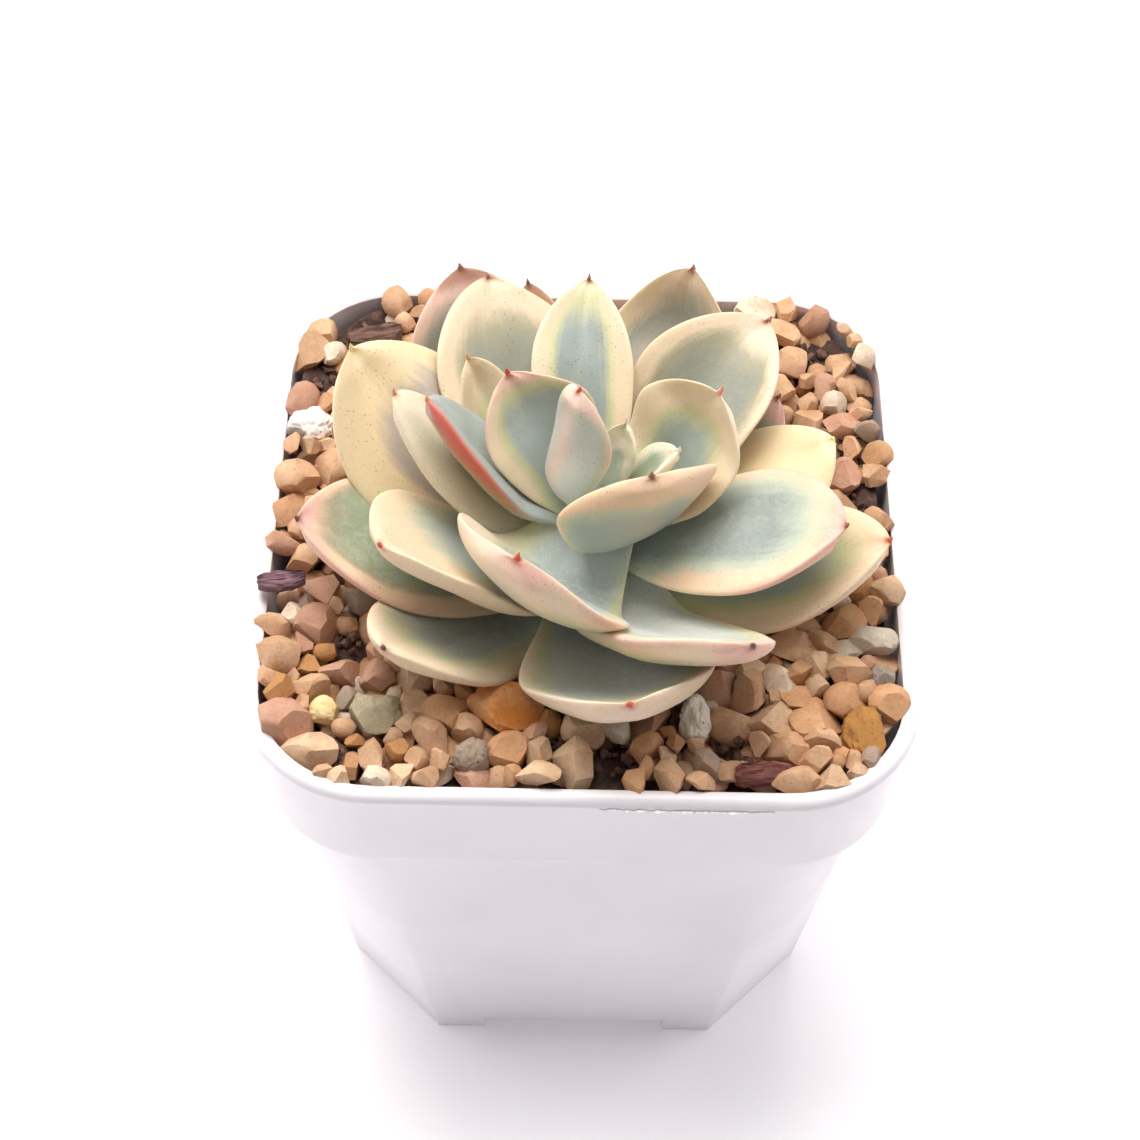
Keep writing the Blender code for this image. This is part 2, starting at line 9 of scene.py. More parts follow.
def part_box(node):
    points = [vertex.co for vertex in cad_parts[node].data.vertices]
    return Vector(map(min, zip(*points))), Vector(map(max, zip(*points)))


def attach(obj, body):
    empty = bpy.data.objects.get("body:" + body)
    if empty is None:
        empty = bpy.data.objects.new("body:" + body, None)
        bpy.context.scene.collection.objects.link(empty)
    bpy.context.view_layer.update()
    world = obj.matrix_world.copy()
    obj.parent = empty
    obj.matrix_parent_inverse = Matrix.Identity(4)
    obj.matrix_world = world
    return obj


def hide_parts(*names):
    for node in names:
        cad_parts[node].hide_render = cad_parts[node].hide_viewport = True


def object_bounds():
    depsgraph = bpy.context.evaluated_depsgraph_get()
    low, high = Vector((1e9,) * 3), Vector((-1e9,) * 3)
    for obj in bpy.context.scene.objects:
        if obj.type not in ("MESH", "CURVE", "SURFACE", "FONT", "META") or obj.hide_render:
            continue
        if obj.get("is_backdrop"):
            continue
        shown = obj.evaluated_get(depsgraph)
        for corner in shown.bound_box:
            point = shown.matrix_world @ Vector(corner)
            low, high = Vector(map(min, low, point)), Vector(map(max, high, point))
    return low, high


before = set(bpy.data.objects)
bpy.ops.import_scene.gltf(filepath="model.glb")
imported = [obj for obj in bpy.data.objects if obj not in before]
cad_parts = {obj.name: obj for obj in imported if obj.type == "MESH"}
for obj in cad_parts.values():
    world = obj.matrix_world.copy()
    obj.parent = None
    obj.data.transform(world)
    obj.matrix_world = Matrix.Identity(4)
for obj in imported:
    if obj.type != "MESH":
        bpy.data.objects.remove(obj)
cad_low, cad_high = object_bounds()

MM = 0.001

# ---------------------------------------------------------------- camera, floor and lights
# The pot is seen from the front and well above, on a white sweep in a bright tent.  The key is
# overhead and a little behind, so the pot's front face is the side in soft shade.
TARGET = Vector((-1.38, 0.05, 57.45)) * MM
AZIMUTH = math.radians(0.11)
ELEVATION = math.radians(53.47)
ROLL = math.radians(0.97)
DISTANCE = 269.13 * MM

backwards = Vector((math.sin(AZIMUTH) * math.cos(ELEVATION),
                    -math.cos(AZIMUTH) * math.cos(ELEVATION), math.sin(ELEVATION)))
level_right = Vector((math.cos(AZIMUTH), math.sin(AZIMUTH), 0))
upright = backwards.cross(level_right)
across_view = math.cos(ROLL) * level_right + math.sin(ROLL) * upright
up_view = math.cos(ROLL) * upright - math.sin(ROLL) * level_right
bpy.ops.object.camera_add(location=TARGET + backwards * DISTANCE)
camera = bpy.context.object
camera.name = "camera"
turned = Matrix((across_view, up_view, backwards)).transposed().to_4x4()
camera.matrix_world = Matrix.Translation(TARGET + backwards * DISTANCE) @ turned
camera.data.sensor_width = 36.0
camera.data.lens = 76.86
camera.data.clip_start = 0.01
camera.data.clip_end = 20.0
bpy.context.scene.camera = camera
bpy.context.scene.view_settings.view_transform = "Standard"


def paint(red, green, blue):
    """A colour in screen values, 0 to 255, as the linear colour that a shader takes."""
    shares = [value / 255 for value in (red, green, blue)]
    return tuple(s / 12.92 if s <= 0.04045 else ((s + 0.055) / 1.055) ** 2.4
                 for s in shares) + (1.0,)


def new_finish(name, values):
    """A material with its node tree and its main shader, whose sockets take the values."""
    finish = bpy.data.materials.new(name)
    finish.use_nodes = True
    shader = finish.node_tree.nodes["Principled BSDF"]
    for socket, value in values.items():
        shader.inputs[socket].default_value = value
    return finish, finish.node_tree, shader


def wire(tree, kind, inputs, **settings):
    """A new node, with sockets linked or set by name."""
    made = tree.nodes.new(kind)
    for name, value in settings.items():
        setattr(made, name, value)
    for name, value in inputs.items():
        if isinstance(value, bpy.types.NodeSocket):
            tree.links.new(value, made.inputs[name])
        else:
            made.inputs[name].default_value = value
    return made


def object_place(tree):
    """Coordinates that stay with the piece, in metres."""
    return wire(tree, "ShaderNodeTexCoord", {}).outputs["Object"]


def noise_over(tree, place, scale, detail, **more):
    """Cloudy noise over a place, 0 to 1."""
    inputs = {"Vector": place, "Scale": scale, "Detail": detail, **more}
    return wire(tree, "ShaderNodeTexNoise", inputs).outputs["Fac"]


floor_finish, tree, shader = new_finish("white_sweep", {
    "Roughness": 0.7, "Specular IOR Level": 0.1,
    "Emission Color": (1.0, 0.96, 0.98, 1.0), "Emission Strength": 0.15})
grain = noise_over(tree, object_place(tree), 40.0, 2.0)
shade = wire(tree, "ShaderNodeMapRange", {"Value": grain, "To Min": 0.965, "To Max": 0.985})
tone = wire(tree, "ShaderNodeCombineColor", {"Red": shade.outputs[0], "Green": 0.955,
                                             "Blue": shade.outputs[0]})
tree.links.new(tone.outputs[0], shader.inputs["Base Color"])
bpy.ops.mesh.primitive_plane_add(size=6.0)
floor = bpy.context.object
floor.name = "white_floor"
floor.data.materials.append(floor_finish)
floor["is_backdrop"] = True

world = bpy.data.worlds.new("tent")
bpy.context.scene.world = world
world.use_nodes = True
world.node_tree.nodes["Background"].inputs["Color"].default_value = (1.0, 0.965, 0.985, 1.0)
world.node_tree.nodes["Background"].inputs["Strength"].default_value = 0.33

SOFTBOXES = (
    # name, place, aimed at, width, power, colour
    ("key_overhead", (-0.05, 0.19, 0.60), (0, 0, 0.05), 0.45, 5.0, (1.0, 0.98, 0.96)),
    ("left_panel", (-0.50, 0.16, 0.28), (0, 0, 0.04), 0.40, 1.2, (1.0, 0.98, 0.98)),
    ("right_panel", (0.50, 0.16, 0.28), (0, 0, 0.04), 0.40, 1.1, (1.0, 0.98, 0.98)),
)
for name, place, aim, width, power, colour in SOFTBOXES:
    bpy.ops.object.light_add(type="AREA", location=place)
    lamp = bpy.context.object
    lamp.name = name
    lamp.data.size = width
    lamp.data.energy = power
    lamp.data.color = colour
    lamp.rotation_euler = (Vector(aim) - Vector(place)).to_track_quat("-Z", "Y").to_euler()

# ---------------------------------------------------------------- pot
# A square nursery pot, 70 mm over the rim, injection moulded in white polypropylene: rolled
# rim, straight skirt, tapering body with flat corners, four feet and five drain holes.
POT_HALF = (cad_high.x - cad_low.x) / 2
POT_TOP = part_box("pot")[1].z
WALL = 1.0 * MM
LIP_RADIUS = 1.0 * MM
SKIRT_DEPTH = 14.5 * MM
RIM_CORNER = 14.0 * MM
BASE_HALF = 27.3 * MM
BASE_CHAMFER = 10.8 * MM
FOOT_HEIGHT = 3.0 * MM
FLOOR_TOP = 4.2 * MM
NOTCH_WIDTH = 21.7 * MM
DRAIN_RADIUS = 3.2 * MM
LEDGE = POT_TOP - SKIRT_DEPTH
SKIRT_HALF = POT_HALF - 1.3 * MM
BODY_HALF = SKIRT_HALF - 0.8 * MM
OPENING_HALF = POT_HALF - 1.6 * MM
CORNER_POINTS = 14
SIDE_POINTS = 9


def outline(half, corner, flat, height):
    """A square outline: its corners go from round (flat 0) to a straight cut (flat 1)."""
    points = []
    for side in range(4):
        turn = Matrix.Rotation(math.radians(90 * side), 3, "Z")
        for step in range(CORNER_POINTS + 1):
            share = step / CORNER_POINTS
            angle = math.radians(90 * share)
            round_point = Vector((half - corner + corner * math.cos(angle),
                                  half - corner + corner * math.sin(angle), height))
            cut_point = Vector((half - corner * share, half - corner * (1 - share), height))
            points.append(turn @ round_point.lerp(cut_point, flat))
        for step in range(1, SIDE_POINTS):
            x = (half - corner) * (1 - 2 * step / SIDE_POINTS)
            points.append(turn @ Vector((x, half, height)))
    return points


def body_outline(height, inset=0.0):
    """The tapering body, whose corner flats widen downwards."""
    share = height / LEDGE
    half = BASE_HALF + (BODY_HALF - BASE_HALF) * share - inset
    corner = BASE_CHAMFER + (RIM_CORNER - 1.4 * MM - BASE_CHAMFER) * share - 0.4 * inset
    return outline(half, corner, 1.0 - 0.85 * share, height)


def set_chosen(piece, points):
    """Puts the selected loop of a piece in edit mode on an outline, point for point."""
    def bearing(point):
        return math.atan2(point[1], point[0]) % (2 * math.pi)

    shape = bmesh.from_edit_mesh(piece.data)
    chosen = sorted((v for v in shape.verts if v.select), key=lambda v: bearing(v.co))
    for vert, point in zip(chosen, sorted(points, key=bearing)):
        vert.co = point
    bmesh.update_edit_mesh(piece.data)


def open_mesh():
    """Puts the active piece in edit mode with all of it chosen."""
    bpy.ops.object.mode_set(mode="EDIT")
    bpy.ops.mesh.select_all(action="SELECT")


def close_mesh():
    """Turns the faces of the open piece outwards and leaves edit mode."""
    bpy.ops.mesh.select_all(action="SELECT")
    bpy.ops.mesh.normals_make_consistent(inside=False)
    bpy.ops.object.mode_set(mode="OBJECT")


def pull_skin(name, rings):
    """A closed skin: a filled loop, extruded from outline to outline and filled at the end."""
    bpy.ops.object.select_all(action="DESELECT")
    bpy.ops.mesh.primitive_circle_add(vertices=len(rings[0]), radius=1.0, fill_type="NGON")
    piece = bpy.context.object
    piece.name = piece.data.name = name
    open_mesh()
    set_chosen(piece, rings[0])
    for points in rings[1:]:
        bpy.ops.mesh.extrude_region_move()
        set_chosen(piece, points)
    close_mesh()
    return piece


def lip_outlines():
    """The rolled rim, as a round bead from the skirt's outside over to the opening."""
    rings = []
    for step in range(9):
        angle = math.radians(-70 + 215 * step / 8)
        half = POT_HALF - LIP_RADIUS + LIP_RADIUS * math.cos(angle)
        height = POT_TOP - LIP_RADIUS + LIP_RADIUS * math.sin(angle)
        rings.append(outline(half, RIM_CORNER + half - POT_HALF, 0, height))
    return rings


rings = [body_outline(height) for height in np.linspace(0, LEDGE - 0.35 * MM, 8)]
for half, tighter, height in ((SKIRT_HALF - 0.25 * MM, 1.3, LEDGE - 0.1 * MM),
                              (SKIRT_HALF, 1.2, LEDGE + 0.25 * MM),
                              (SKIRT_HALF + 0.1 * MM, 1.1, LEDGE + 1.0 * MM),
                              (POT_HALF - 0.8 * MM, 0.6, POT_TOP - 2.4 * MM)):
    rings.append(outline(half, RIM_CORNER - tighter * MM, 0, height))
rings += lip_outlines()
rings.append(outline(OPENING_HALF - 0.2 * MM, RIM_CORNER - 1.8 * MM, 0, POT_TOP - 2.5 * MM))
rings.append(outline(SKIRT_HALF - WALL, RIM_CORNER - 2.2 * MM, 0, LEDGE + WALL))
rings += [body_outline(height, WALL) for height in np.linspace(LEDGE - 0.5 * MM, FLOOR_TOP, 7)]
pot = pull_skin("pot_moulded", rings)


def choose(*pieces):
    """Selects these pieces only and makes the first one active."""
    bpy.ops.object.select_all(action="DESELECT")
    for piece in pieces:
        piece.select_set(True)
    bpy.context.view_layer.objects.active = pieces[0]


def take_away(piece, tool):
    """Cuts a tool out of a piece and removes the tool."""
    choose(piece)
    cut = piece.modifiers.new("cut", "BOOLEAN")
    cut.object = tool
    cut.solver = "EXACT"
    bpy.ops.object.modifier_apply(modifier=cut.name)
    bpy.data.objects.remove(tool, do_unlink=True)


for length, width in ((4 * POT_HALF, NOTCH_WIDTH), (NOTCH_WIDTH, 4 * POT_HALF)):
    bpy.ops.mesh.primitive_cube_add(size=1.0, scale=(length, width, 2 * FOOT_HEIGHT))
    take_away(pot, bpy.context.object)
spread = 0.6 * BASE_HALF
for x, y in ((0, 0), (1, 0), (-1, 0), (0, 1), (0, -1)):
    bpy.ops.mesh.primitive_cylinder_add(vertices=32, radius=DRAIN_RADIUS, depth=4 * MM,
                                        location=(x * spread, y * spread, FLOOR_TOP - 0.6 * MM))
    take_away(pot, bpy.context.object)

# A ragged line of moulding flash runs along the front of the rim, on the right.
FLASH_START = 2.0 * MM
FLASH_LENGTH = 17.5 * MM
FLASH_THICKNESS = 0.14 * MM
bpy.ops.object.select_all(action="DESELECT")
bpy.ops.mesh.primitive_grid_add(x_subdivisions=90, y_subdivisions=1, size=1.0)
flash = bpy.context.object
for vert in flash.data.vertices:
    share = vert.co.x + 0.5
    ragged = noise.noise(Vector((share * 19.0, 0.0, 4.0)))
    ragged += 0.8 * noise.noise(Vector((share * 47.0, 3.0, 4.0)))
    proud = (0.20 + 0.42 * ragged) * min(1.0, 8 * share, 8 * (1 - share))
    outer = vert.co.y < 0
    vert.co = (FLASH_START + FLASH_LENGTH * share,
               -POT_HALF + (-max(proud, 0.02) * MM if outer else 0.25 * MM),
               POT_TOP - 1.25 * MM + (0.30 * ragged * MM if outer else 0.0))
bpy.context.view_layer.objects.active = flash
thick = flash.modifiers.new("thick", "SOLIDIFY")
thick.thickness = FLASH_THICKNESS
thick.offset = 0.0
bpy.ops.object.modifier_apply(modifier=thick.name)
choose(pot, flash)
bpy.ops.object.join()
bpy.ops.object.shade_smooth_by_angle(angle=math.radians(38))


def ramp(tree, value, stops):
    """A colour ramp fed by a value; stops are (place, colour) in rising order."""
    made = wire(tree, "ShaderNodeValToRGB", {"Fac": value})
    elements = made.color_ramp.elements
    elements[0].position, elements[0].color = stops[0]
    elements[1].position, elements[1].color = stops[-1]
    for place, colour in stops[1:-1]:
        elements.new(place).color = colour
    return made.outputs["Color"]


def mixed(tree, share, first, second, mode="MIX"):
    """Two colours mixed by a share, which may be a socket."""
    made = tree.nodes.new("ShaderNodeMix")
    made.data_type = "RGBA"
    made.blend_type = mode
    for socket, value in zip((made.inputs[0], made.inputs[6], made.inputs[7]),
                             (share, first, second)):
        if isinstance(value, bpy.types.NodeSocket):
            tree.links.new(value, socket)
        else:
            socket.default_value = value
    return made.outputs[2]


def reckon(tree, operation, *values):
    """The result of a sum done by a node."""
    return wire(tree, "ShaderNodeMath", dict(enumerate(values)), operation=operation).outputs[0]


def cells_over(tree, place, scale, **settings):
    """Distance to the nearest of many scattered points, or to an edge between them."""
    inputs = {"Vector": place, "Scale": scale}
    return wire(tree, "ShaderNodeTexVoronoi", inputs, **settings).outputs["Distance"]


def dress(tree, shader, colour, relief, depth, strength):
    """Gives a shader its colour and a fine relief, with its depth in metres."""
    bump = wire(tree, "ShaderNodeBump", {"Height": relief, "Strength": strength,
                                         "Distance": depth})
    tree.links.new(colour, shader.inputs["Base Color"])
    tree.links.new(bump.outputs["Normal"], shader.inputs["Normal"])


BLACK = (0.0, 0.0, 0.0, 1.0)
WHITE = (1.0, 1.0, 1.0, 1.0)

plastic, tree, shader = new_finish("white_polypropylene", {
    "Roughness": 0.38, "Specular IOR Level": 0.45, "Subsurface Weight": 0.12,
    "Subsurface Radius": (1.0, 0.95, 0.95), "Subsurface Scale": 1.5 * MM})
place = object_place(tree)
cloud = noise_over(tree, place, 55.0, 3.0)
chance = noise_over(tree, place, 130.0, 1.0)
rare = ramp(tree, chance, [(0.56, (0.3, 0.3, 0.3, 1.0)), (0.64, BLACK)])
near = reckon(tree, "ADD", cells_over(tree, place, 210.0), rare)
speck = ramp(tree, near, [(0.022, WHITE), (0.045, BLACK)])
skin = ramp(tree, cloud, [(0.3, paint(230, 226, 230)), (0.7, paint(238, 235, 239))])
dress(tree, shader, mixed(tree, speck, skin, paint(120, 108, 104)),
      noise_over(tree, place, 2400.0, 2.0), 0.03 * MM, 0.35)


def finish_piece(piece, name, finish, slot, *nodes):
    """Names a piece, gives it its material and makes it stand for its CAD nodes."""
    piece.name = piece.data.name = name
    piece.data.materials.clear()
    piece.data.materials.append(finish)
    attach(piece, "root")
    if nodes:
        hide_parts(*nodes)


finish_piece(pot, "pot_moulded", plastic, "pot_plastic", "pot")

# ---------------------------------------------------------------- soil
# Dark peat and bark compost fills the pot.  Its top lies just under the gravel and breaks
# through it in a few places, at the corners and under the front leaves.
GRAVEL_TOP = POT_TOP - 1.4 * MM
DISH_MIDDLE = (0.0, 3.0 * MM)
DISH_RADIUS = 28.0 * MM
DISH_DEPTH = 10.4 * MM
BARE_PATCHES = (
    # right, back, radius, in millimetres: places with no gravel over the soil
    (-25.5, 28.0, 5.2), (-30.5, 21.0, 3.4), (27.0, 27.0, 3.2), (31.0, 4.5, 3.2),
    (3.5, -29.5, 2.6), (15.5, -27.5, 2.0), (-3.0, -21.5, 2.6), (10.0, -21.5, 3.0),
    (-24.5, -29.0, 1.6), (-24.0, -15.5, 2.2), (-2.5, -27.0, 1.6),
)


def gravel_level(x, y):
    """The mean height of the gravel, which dips towards the stem."""
    away = math.hypot(x - DISH_MIDDLE[0], y - DISH_MIDDLE[1]) / DISH_RADIUS
    return GRAVEL_TOP - DISH_DEPTH * max(0.0, 1.0 - away ** 2) ** 1.3


def bareness(x, y):
    """1 in the middle of a bare patch, 0 away from them."""
    found = 0.0
    for right, back, radius in BARE_PATCHES:
        away = math.hypot(x / MM - right, y / MM - back) / radius
        found = max(found, min(1.0, max(0.0, 1.6 - away)))
    return found


soil_rings = [body_outline(height, WALL + 0.3 * MM)
              for height in (FLOOR_TOP + 0.3 * MM, LEDGE / 2, LEDGE - 1.2 * MM)]
rim_ring = outline(SKIRT_HALF - WALL - 0.6 * MM, RIM_CORNER - 2.2 * MM, 0, LEDGE + 1.7 * MM)
soil_rings.append(rim_ring)
RINGS_TO_MIDDLE = 60
UNDER_GRAVEL = 3.0               # millimetres from the gravel's mean height down to the soil
for step in range(RINGS_TO_MIDDLE):
    share = 1.0 - step / RINGS_TO_MIDDLE
    ring = []
    for point in rim_ring:
        x, y = point.x * share, point.y * share
        spot = Vector((x, y, 0.0)) / MM
        lumps = 0.9 * noise.noise(spot * 0.55) + 0.5 * noise.noise(spot * 1.6)
        rise = -UNDER_GRAVEL + 2.0 * bareness(x, y) + lumps
        rise += 1.6 * max(0.0, max(abs(x), abs(y)) / OPENING_HALF - 0.8) / 0.2
        ring.append(Vector((x, y, gravel_level(x, y) + rise * MM)))
    soil_rings.append(ring)
soil = pull_skin("soil_mix", soil_rings)
bpy.ops.object.shade_smooth_by_angle(angle=math.radians(60))

earth, tree, shader = new_finish("damp_peat", {"Roughness": 0.85})
fibres = noise_over(tree, object_place(tree), 900.0, 6.0, Roughness=0.7)
brown = ramp(tree, fibres, [(0.30, paint(38, 26, 22)), (0.55, paint(78, 54, 44)),
                            (0.72, paint(128, 92, 74))])
dress(tree, shader, brown, fibres, 0.5 * MM, 0.8)
finish_piece(soil, "soil_mix", earth, "soil", "soil")

# Crumbs of peat and shreds of bark lie loose on the bare patches and between the stones.
rng = np.random.default_rng(11)


def grain_model(name, faces_from, stretch, cuts, seed, depth=(0.62, 0.86)):
    """One stone or crumb: a ball stretched, with flat facets cut off it and filled."""
    chance = np.random.default_rng(seed)
    bpy.ops.object.select_all(action="DESELECT")
    bpy.ops.mesh.primitive_ico_sphere_add(subdivisions=faces_from, radius=1.0)
    model = bpy.context.object
    model.name = name
    open_mesh()
    bpy.ops.transform.resize(value=stretch)
    for _ in range(cuts):
        facing = Vector(chance.normal(size=3)).normalized()
        reach = Vector([f * s for f, s in zip(facing, stretch)]).length
        bpy.ops.mesh.select_all(action="SELECT")
        bpy.ops.mesh.bisect(plane_co=facing * reach * chance.uniform(*depth),
                            plane_no=facing, use_fill=True, clear_outer=True)
    close_mesh()
    return model


def strew(name, models, rows):
    """Joins copies of models, one per row of model, matrix and tint, and removes the models."""
    copies = []
    for which, matrix, tint in rows:
        copy = models[which].copy()
        copy.data = models[which].data.copy()
        copy.data.transform(matrix)
        colour = copy.data.attributes.new("tint", "FLOAT_COLOR", "POINT")
        colour.data.foreach_set("color", np.tile(tint, len(copy.data.vertices)))
        bpy.context.scene.collection.objects.link(copy)
        copies.append(copy)
    choose(*copies)
    bpy.ops.object.join()
    for model in models:
        bpy.data.objects.remove(model, do_unlink=True)
    piece = bpy.context.object
    piece.name = name
    return piece


def tumbled(middle, size, stand=0.35):
    """A matrix that sizes a model, tips it a little, turns it and puts it in place."""
    tip = (Matrix.Rotation(rng.normal() * stand, 4, "X")
           @ Matrix.Rotation(rng.normal() * stand, 4, "Y"))
    turn = Matrix.Rotation(rng.uniform(0, 2 * math.pi), 4, "Z")
    stretch = Matrix.Diagonal((*(rng.uniform(0.85, 1.15, 3) * size), 1.0))
    return Matrix.Translation(middle) @ turn @ tip @ stretch


crumb_models = [grain_model("crumb_%d" % k, 1, (1.0, 0.8, 0.7), 2, k) for k in range(3)]
crumb_models.append(grain_model("shred", 1, (2.4, 0.7, 0.35), 3, 8))
CRUMB_COUNT = 620
rows = []
while len(rows) < CRUMB_COUNT:
    x, y = rng.uniform(-1, 1, 2) * (OPENING_HALF - 2 * MM)
    bare = bareness(x, y)
    corner = np.clip(np.abs([x, y]) - (OPENING_HALF - RIM_CORNER), 0, None)
    if np.linalg.norm(corner) > RIM_CORNER - 2.6 * MM or rng.uniform() > 0.10 + bare:
        continue
    height = gravel_level(x, y) + (-2.4 + 2.0 * bare + rng.uniform(-0.4, 0.4)) * MM
    which = int(rng.integers(0, 4))
    tone = rng.uniform(0.55, 1.5)
    rows.append((which, tumbled((x, y, height), rng.uniform(0.35, 0.95) * MM, 0.8),
                 (0.105 * tone, 0.055 * tone, 0.038 * tone, 1.0)))
crumbs = strew("soil_crumbs", crumb_models, rows)

crumb_finish, tree, shader = new_finish("bark_crumbs", {"Roughness": 0.8})
tint = wire(tree, "ShaderNodeAttribute", {}, attribute_name="tint").outputs["Color"]
fibres = noise_over(tree, object_place(tree), 1500.0, 5.0)
worn = ramp(tree, fibres, [(0.35, (0.5, 0.5, 0.5, 1)), (0.75, (1.9, 1.8, 1.7, 1))])
dress(tree, shader, mixed(tree, 1.0, tint, worn, "MULTIPLY"), fibres, 0.3 * MM, 0.8)
finish_piece(crumbs, "soil_crumbs", crumb_finish, "soil")

# ---------------------------------------------------------------- gravel
# A dressing of crushed akadama-like grit, 2.5 to 5 mm: dry, matt and angular, mostly tan, with
# some ochre, pinkish, cream and grey stones.  They lie loose, two stones deep.
STONE_NODES = ("stone_orange", "stone_pumice", "stone_speckled", "stone_grey", "stone_brown",
               "stone_knobbly", "stone_pale", "stone_tan", "stone_ash", "stone_straw",
               "bark_purple", "bark_maroon", "bark_brown")
keep_clear = []
for node in STONE_NODES:
    low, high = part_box(node)
    keep_clear.append(((low.x + high.x) / 2, (low.y + high.y) / 2,
                       (high.x - low.x + high.y - low.y) / 4))
SHADES = (
    # share of the stones, colour
    (0.42, paint(214, 174, 138)), (0.19, paint(204, 158, 118)), (0.13, paint(222, 190, 156)),
    (0.09, paint(200, 156, 132)), (0.06, paint(230, 214, 190)), (0.05, paint(172, 156, 140)),
    (0.06, paint(188, 138, 90)),
)


STONE_SPACING = 0.92             # shares of their sizes that stones keep from each other,
WALL_SPACING = 0.82              # and from the wall


def lie_apart(points, sizes, clear, rounds=70):
    """Pushes stones apart, inwards from the wall and off the places to keep clear."""
    for _ in range(rounds):
        offset = points[:, None, :] - points[None, :, :]
        away = np.linalg.norm(offset, axis=2) + 1e-9
        reach = STONE_SPACING * (sizes[:, None] + sizes[None, :])
        press = np.clip(reach - away, 0, None) * (away < 1.0)
        np.fill_diagonal(press, 0.0)
        points = points + 0.35 * (offset / away[..., None] * press[..., None]).sum(1)
        for x, y, radius in clear:
            apart = points - np.array([x, y])
            length = np.linalg.norm(apart, axis=1) + 1e-9
            short = np.clip(radius + 0.8 * sizes - length, 0, None)
            points = points + apart / length[:, None] * short[:, None]
        corner = RIM_CORNER - 2.0 * MM
        inner = OPENING_HALF + 0.1 * MM - corner
        over = np.abs(points) - inner
        outside = np.clip(over, 0, None)
        length = np.linalg.norm(outside, axis=1)
        depth = length + np.minimum(over.max(1), 0.0) - corner + WALL_SPACING * sizes
        lean = np.where(length[:, None] > 1e-9, outside / (length[:, None] + 1e-12),
                        over == over.max(1)[:, None])
        points = points - np.sign(points) * lean * np.clip(depth, 0, None)[:, None]
    return points


GRIT_SHAPES = (
    # stretch, facets, nearest and farthest cut as shares of the reach
    ((1.25, 1.05, 0.90), 8, (0.45, 0.75)), ((1.45, 0.95, 0.85), 8, (0.45, 0.75)),
    ((1.20, 1.10, 0.95), 9, (0.48, 0.78)), ((1.65, 0.90, 0.80), 7, (0.45, 0.75)),
    ((1.20, 1.00, 1.05), 10, (0.50, 0.78)), ((1.35, 1.15, 0.80), 8, (0.45, 0.75)),
    ((1.30, 1.00, 1.00), 6, (0.50, 0.80)), ((1.50, 1.20, 0.85), 9, (0.42, 0.70)),
    ((1.15, 1.05, 1.00), 5, (0.60, 0.86)),
)
stone_models = [grain_model("grit_%d" % k, 2, stretch, facets, 21 + k, depth)
                for k, (stretch, facets, depth) in enumerate(GRIT_SHAPES)]
rows = []
patches = [(x * MM, y * MM, 0.75 * r * MM) for x, y, r in BARE_PATCHES]
for count, drop, smallest, largest, gather, clear in (
        # the top layer, then the one under it, gathered inwards from the tapering wall
        (470, -0.25, 1.0, 2.7, 1.0, keep_clear + patches), (520, -2.1, 1.3, 2.2, 0.955, patches)):
    middles = rng.uniform(-1, 1, (count, 2)) * (OPENING_HALF - 3 * MM)
    sizes = (smallest + (largest - smallest) * rng.uniform(0, 1, count) ** 1.5) * MM
    middles = gather * lie_apart(middles, sizes, clear)
    for (x, y), size in zip(middles, sizes):
        height = gravel_level(x, y) + (drop + rng.normal() * 0.25) * MM - 0.25 * (size - 1.6 * MM)
        height += 1.5 * MM * max(0.0, max(abs(x), abs(y)) / OPENING_HALF - 0.75) / 0.25
        pick = rng.uniform()
        for share, colour in SHADES:
            pick -= share
            if pick <= 0:
                break
        tone = rng.uniform(0.86, 1.10)
        tint = tuple(value * tone for value in colour[:3]) + (1.0,)
        which = int(rng.integers(0, len(stone_models)))
        rows.append((which, tumbled((x, y, height), size), tint))
gravel = strew("gravel_dressing", stone_models, rows)
bpy.ops.object.shade_smooth_by_angle(angle=math.radians(40))


def stone_finish(name, base, stain, pits, spots):
    """Matt stone: a base colour or tint, stained in patches, with fine pits and dark spots."""
    finish, tree, shader = new_finish(name, {"Roughness": 0.88, "Specular IOR Level": 0.25})
    place = object_place(tree)
    if base is None:
        base = wire(tree, "ShaderNodeAttribute", {}, attribute_name="tint").outputs["Color"]
    patch = noise_over(tree, place, 420.0, 5.0, Roughness=0.6)
    where = ramp(tree, patch, [(0.42, BLACK), (0.66, WHITE)])
    colour = mixed(tree, where, base, mixed(tree, 0.45, base, stain))
    fine = noise_over(tree, place, 2300.0, 6.0, Roughness=0.75)
    dusty = ramp(tree, fine, [(0.28, (0.80, 0.78, 0.76, 1)), (0.55, WHITE)])
    colour = mixed(tree, 1.0, colour, dusty, "MULTIPLY")
    dot = ramp(tree, cells_over(tree, place, 1100.0),
               [(0.02 + pits, WHITE), (0.10 + pits, BLACK)])
    dress(tree, shader, mixed(tree, dot, colour, spots), fine, 0.22 * MM, 0.6)
    return finish


grit = stone_finish("dry_grit", None, paint(176, 122, 84), 0.02, paint(150, 104, 74))
finish_piece(gravel, "gravel_dressing", grit, "gravel", "gravel_bed")

